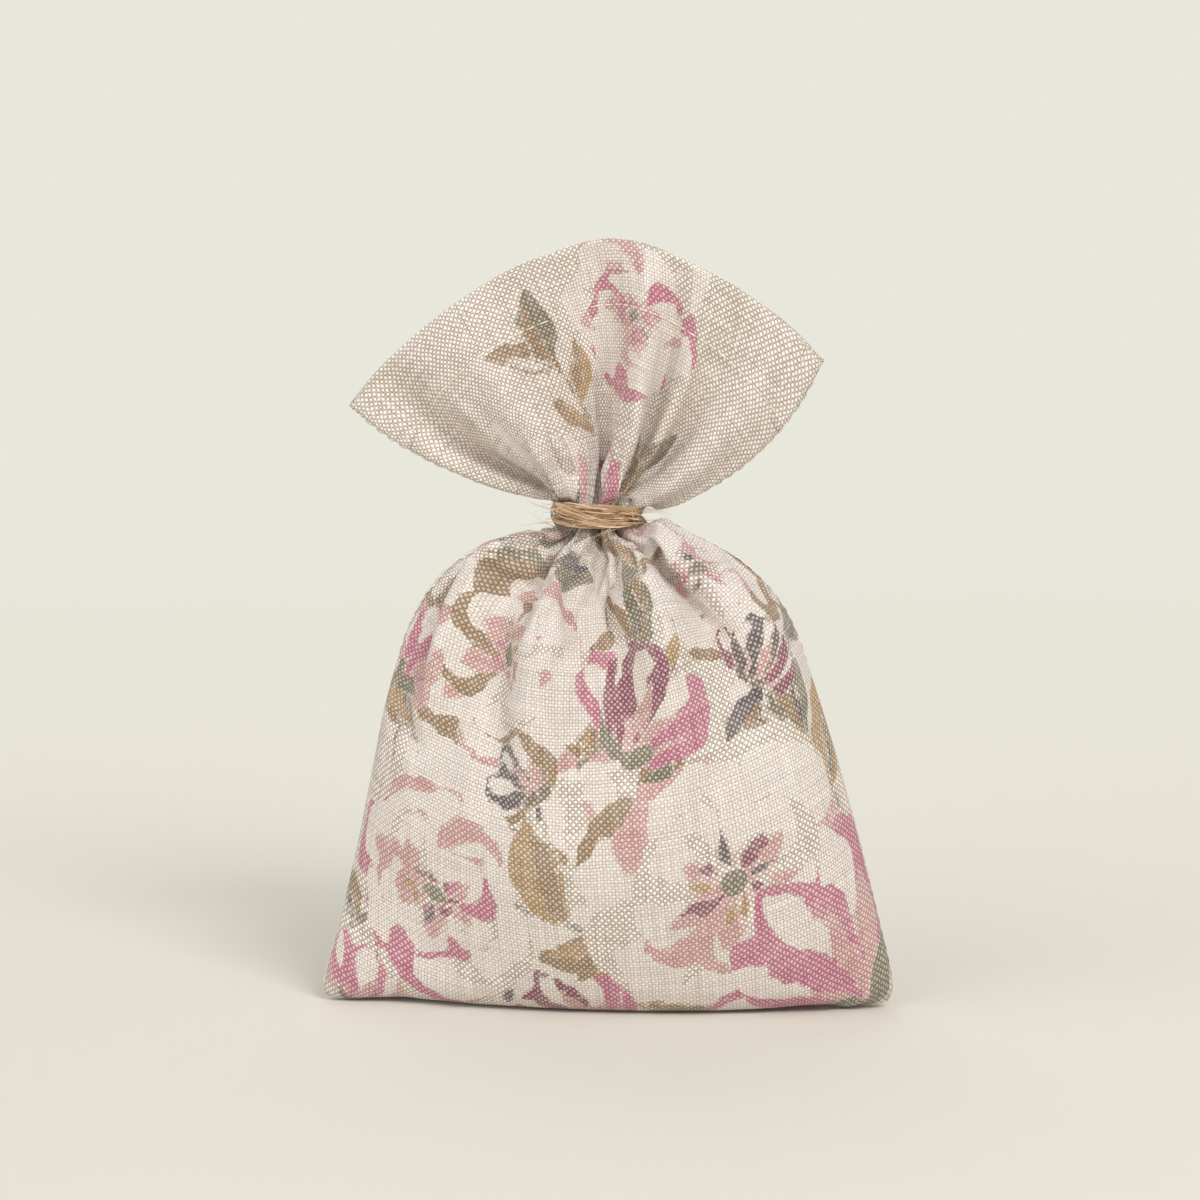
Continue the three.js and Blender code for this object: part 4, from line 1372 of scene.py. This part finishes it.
# Jute: stiff tan bast fibre, slightly glossy where it is clean, darker where it is bunched
def juteMaterial(name, tones):
    mat, tree = emptyMaterial(name)
    place = addNode(tree, "TexCoord", out="Object")
    tone = addNode(tree, "TexNoise", {"Vector": place, "Scale": 260.0, "Detail": 3.0, "Roughness": 0.6})
    tone = addNode(tree, "MapRange", {0: tone, 1: 0.3, 2: 0.7})
    grain = addNode(tree, "TexNoise", {"Vector": place, "Scale": 1400.0, "Detail": 2.0})
    closeMaterial(tree, tone, tones, grain, twine["relief"], twine["looks"])
    return mat


# One fibre: it winds round the route, strays over its neighbours, and lies in the band that the turns form
def twineFibre(rng, line, length, up, out):
    along = np.linspace(0, length, len(line))
    ending = np.minimum(along, length - along)
    fray = 1 + twine["fray"] * np.clip(1 - ending / twine["frayLength"], 0, 1) ** 2
    (swell, swellLength), (wobble, wobbleLength) = twine["swell"], twine["wobble"]
    start, reach = rng.uniform(0, 6.28), math.sqrt(rng.uniform(twine["innermost"], 1))
    phase, phase2 = rng.uniform(0, 6.28), rng.uniform(0, 6.28)
    angle = start + 2 * math.pi * twine["lay"] * along / 10 + wobble * np.sin(along / wobbleLength + phase)
    radius = twine["bundle"] * reach * (1 + swell * np.sin(along / swellLength + phase2)) * fray
    straying = np.sin(along / rng.uniform(*twine["strayLengths"]) + rng.uniform(0, 6.28))
    wander = twine["stray"] * straying * np.minimum(1, ending / twine["strayFade"])
    rise = radius * np.cos(angle) + wander
    places = line + up * rise[:, None] + out * (radius * np.sin(angle))[:, None]

    # Within the band, heights are pressed together towards its middle
    fromMiddle = places[:, 0] - neckMiddle
    half = twine["bandHalf"] * (1 - twine["bandTaper"] * (fromMiddle / twine["acrossRadius"]) ** 2)
    height = places[:, 2] - tieHeight + twine["sway"] * np.sin(along / twine["swayLength"] + 1.0)
    pressed = half * np.tanh(height / half) + twine["tilt"] * fromMiddle
    inBand = smooth((ending - twine["straight"]) / twine["straightFade"])
    places[:, 2] = lerp(places[:, 2], tieHeight + pressed, inBand)
    first, last = rng.randrange(0, twine["fibreTrim"]), len(line) - rng.randrange(0, twine["fibreTrim"])
    thick = twine["fibreRadius"] * rng.uniform(*twine["fibreSpread"])
    uneven = twine["fibreUneven"]
    radii = [thick * mm * (1 + uneven * math.sin(k * 0.7 + phase)) for k in range(last - first)]
    return places[first:last] * mm, radii, rng.choice([0, 0, 1, 2])


# A stray hair: it comes out of the bundle, heads along it and outwards, and curls
def twineHair(rng, line, tangent, up, out):
    k = rng.randrange(10, len(line) - 10)
    turn = rng.uniform(0, 6.28)
    away = up[k] * math.cos(turn) + out[k] * math.sin(turn)
    centre = np.array([line[k][0] - neckMiddle, line[k][1], 0.0])
    centre /= np.linalg.norm(centre)
    heading = tangent[k] * rng.choice([-1, 1]) + centre * rng.uniform(*twine["hairOut"])
    heading[2] += rng.uniform(-twine["hairUp"], twine["hairUp"])
    curl = np.array([rng.uniform(-1, 1) for _ in range(3)]) * twine["hairCurl"]
    curl = curl - tangent[k] * twine["hairBack"]
    usual, longer = twine["hairLengths"]
    long = rng.uniform(*(usual if rng.random() < twine["hairMost"] else longer))
    root = line[k] + away * twine["bundle"] * twine["hairRoot"]
    steps = np.linspace(0, 1, twine["hairPoints"])
    points = [(root + (heading * t + curl * t * t) * long) * mm for t in steps]
    radii = [twine["hairRadius"] * mm * (1 - twine["hairTaper"] * t) for t in steps]
    return points, radii, rng.choice([0, 1])


def makeTwine():
    rng = random.Random(twine["seed"])
    line, length = smoothLine(twineRoute(), twine["step"])
    tangent = np.gradient(line, axis=0)
    tangent /= np.linalg.norm(tangent, axis=1, keepdims=True)
    up = np.array([0.0, 0.0, 1.0]) - tangent * tangent[:, 2:3]
    up /= np.linalg.norm(up, axis=1, keepdims=True)
    out = np.cross(tangent, up)
    strands = [twineFibre(rng, line, length, up, out) for _ in range(twine["fibres"])]
    strands += [twineHair(rng, line, tangent, up, out) for _ in range(twine["hairs"])]
    fibres = [juteMaterial(name, tones) for name, tones in twine["tones"].items()]
    mesh = strandMesh("twine_fibres", strands, 1, fibres)
    smoothFaces(mesh)
    dress(linkObject("twine_fibres", mesh), "jute_twine", "twine_tie")
    print(f"twine made, {length:.0f} mm of it, {len(mesh.polygons)} faces")


makeTwine()

# The inner sachet, and the granules that fill it
sachet = {
    "inset": 3.2,           # mm in from the bag's outside
    "bottom": 1.4,
    "top": 66.0,
    "plane": 0.45,          # the outer face of a half, at the sealed edge
    "thickness": 0.3,
    "sealShare": 0.86,
    "columns": 44,
    "rows": 36,
    "clear": 1.3,           # to the cloth
    "flat": (0.092, 0.074), # a half's own size, across and along, m
    "tones": ("#eceae3", "#f8f7f3"),
    "relief": (0.08, 0.7),
    "looks": {"Roughness": 0.8},
}

granules = {
    "radius": 1.65,         # mm
    "smallest": 0.88,       # share of that
    "spacing": 3.7,
    "layerRise": 0.82,      # from layer to layer, as a share of the spacing
    "first": 3.2,           # middle of the lowest layer above the sachet's bottom
    "headroom": 8.0,
    "clear": 0.4,           # to the sachet's inner face
    "wallClear": 1.0,       # the same where the cloth's creases push the sachet in
    "jitter": 0.3,
    "layers": 60,           # at most
    "reach": (16, 8),       # places to both sides of the middle, across and deep, at most
    "seed": 3,
    "tones": ("#a8936c", "#dccdae"),
    "relief": (0.1, 0.8),
    "looks": {"Roughness": 0.85},
}


# How far the cloth lies from the bag's middle line, in a level direction
def clothReach(tree, middle, heading, z):
    hit = tree.ray_cast(Vector((middle, 0, z)) * mm, Vector(heading).normalized())
    return hit[3] / mm if hit[0] else 1e9


def pillowPoint(tree, side, across, rise, inset):
    share = (1 - math.cos(math.pi * rise)) / 2
    z = lerp(sachet["bottom"] + inset - sachet["inset"], sachet["top"] - inset + sachet["inset"], share)
    puff = max(0.0, math.sin(math.pi * share)) ** 0.6
    halfWidth, halfDepth, middle, pointed = (float(value) for value in sectionAt(np.float64(z)))
    turn = across * math.pi / 2
    reach = (halfWidth - inset) * lerp(sachet["sealShare"], 1, puff)
    forward = max(0, halfDepth - inset - sachet["plane"]) * puff * max(0.0, math.cos(turn)) ** pointed
    spot = Vector((reach * math.sin(turn), side * forward, 0))
    if spot.length > 1:
        spot *= min(1, (clothReach(tree, middle, spot, z) - sachet["clear"]) / spot.length)
    return Vector((middle + spot.x, spot.y + side * sachet["plane"], z))


# Spunbonded non-woven: white, matt, with a fine grid of bonded dots
def nonWovenMaterial():
    mat, tree = emptyMaterial("spunbonded non-woven")
    place = addNode(tree, "TexCoord", out="Object")
    dots = addNode(tree, "TexVoronoi", {"Vector": place, "Scale": 900.0, "Randomness": 0.1})
    felt = addNode(tree, "TexNoise", {"Vector": place, "Scale": 1500.0, "Detail": 4.0})
    height = addNode(tree, "Math", {0: dots, 1: felt}, operation="MULTIPLY")
    closeMaterial(tree, height, sachet["tones"], height, sachet["relief"], sachet["looks"])
    return mat


# Dry wood granules soaked in scent: dull straw brown, each a little different
def granuleMaterial():
    mat, tree = emptyMaterial("dry wood granules")
    place = addNode(tree, "TexCoord", out="Object")
    each = addNode(tree, "TexNoise", {"Vector": place, "Scale": 240.0, "Detail": 2.0})
    grain = addNode(tree, "TexNoise", {"Vector": place, "Scale": 1800.0, "Detail": 3.0})
    closeMaterial(tree, each, granules["tones"], grain, granules["relief"], granules["looks"])
    return mat


def makeSachet():
    bm = bmesh.new()
    bm.from_mesh(bagMesh)
    tree = BVHTree.FromBMesh(bm)
    bm.free()
    nonWoven = nonWovenMaterial()
    for side, word in ((-1, "front"), (1, "back")):
        bm = bmesh.new()
        bmesh.ops.create_grid(bm, x_segments=sachet["columns"], y_segments=sachet["rows"], size=0.5)
        for vert in bm.verts:
            vert.co = pillowPoint(tree, side, vert.co.x * 2, vert.co.y + 0.5, sachet["inset"]) * mm
        if side > 0:
            bmesh.ops.reverse_faces(bm, faces=bm.faces)
        mesh = meshFrom(bm, "sachet_" + word)
        smoothFaces(mesh)
        mesh.materials.append(nonWoven)
        half = linkObject("sachet_" + word, mesh)
        wall = half.modifiers.new("thickness", "SOLIDIFY")
        wall.thickness = sachet["thickness"] * mm
        wall.offset = -1
        dress(half, "non_woven", "inner_bag_" + word)
    fillSachet(tree)


def fillSachet(tree):
    rng = random.Random(granules["seed"])
    bm = bmesh.new()
    gap, jitter = granules["spacing"], granules["jitter"]
    reachAcross, reachDeep = granules["reach"]
    inset = sachet["inset"] + sachet["thickness"] + granules["radius"] + granules["clear"]
    count = 0
    for layer in range(granules["layers"]):
        z = sachet["bottom"] + granules["first"] + layer * gap * granules["layerRise"]
        if z > sachet["top"] - granules["headroom"]:
            break
        share = (z - sachet["bottom"]) / (sachet["top"] - sachet["bottom"])
        puff = math.sin(math.pi * share) ** 0.6
        halfWidth, halfDepth, middle, pointed = (float(value) for value in sectionAt(np.float64(z)))
        wide, deep = (halfWidth - inset) * lerp(sachet["sealShare"], 1, puff), (halfDepth - inset) * puff
        for i in range(-reachAcross, reachAcross + 1):
            for j in range(-reachDeep, reachDeep + 1):
                x = (i + 0.5 * (layer % 2)) * gap + rng.uniform(-jitter, jitter)
                y = (j + 0.5 * (layer % 2)) * gap + rng.uniform(-jitter, jitter)
                if abs(x) > wide or abs(y) > deep * max(0, 1 - (x / wide) ** 2) ** (pointed / 2):
                    continue
                spot = Vector((x, y, 0))
                room = clothReach(tree, middle, spot, z) - sachet["clear"]
                room = room - granules["radius"] - granules["wallClear"]
                if spot.length > 1 and spot.length > room:
                    continue
                size = granules["radius"] * rng.uniform(granules["smallest"], 1.0)
                angle = rng.uniform(0, 6.28)
                turn = Matrix.Rotation(angle, 4, (rng.uniform(-1, 1), rng.uniform(-1, 1), 1))
                shift = Matrix.Translation(Vector((middle + x, y, z)) * mm)
                place = shift @ turn @ Matrix.Scale(size * mm, 4)
                bmesh.ops.create_icosphere(bm, subdivisions=1, radius=1, matrix=place)
                count += 1
    mesh = meshFrom(bm, "scent_granules")
    mesh.materials.append(granuleMaterial())
    dress(linkObject("scent_granules", mesh), "granules", "scent_fill")
    print(count, "granules")


makeSachet()

bpy.data.meshes.remove(bagMesh)
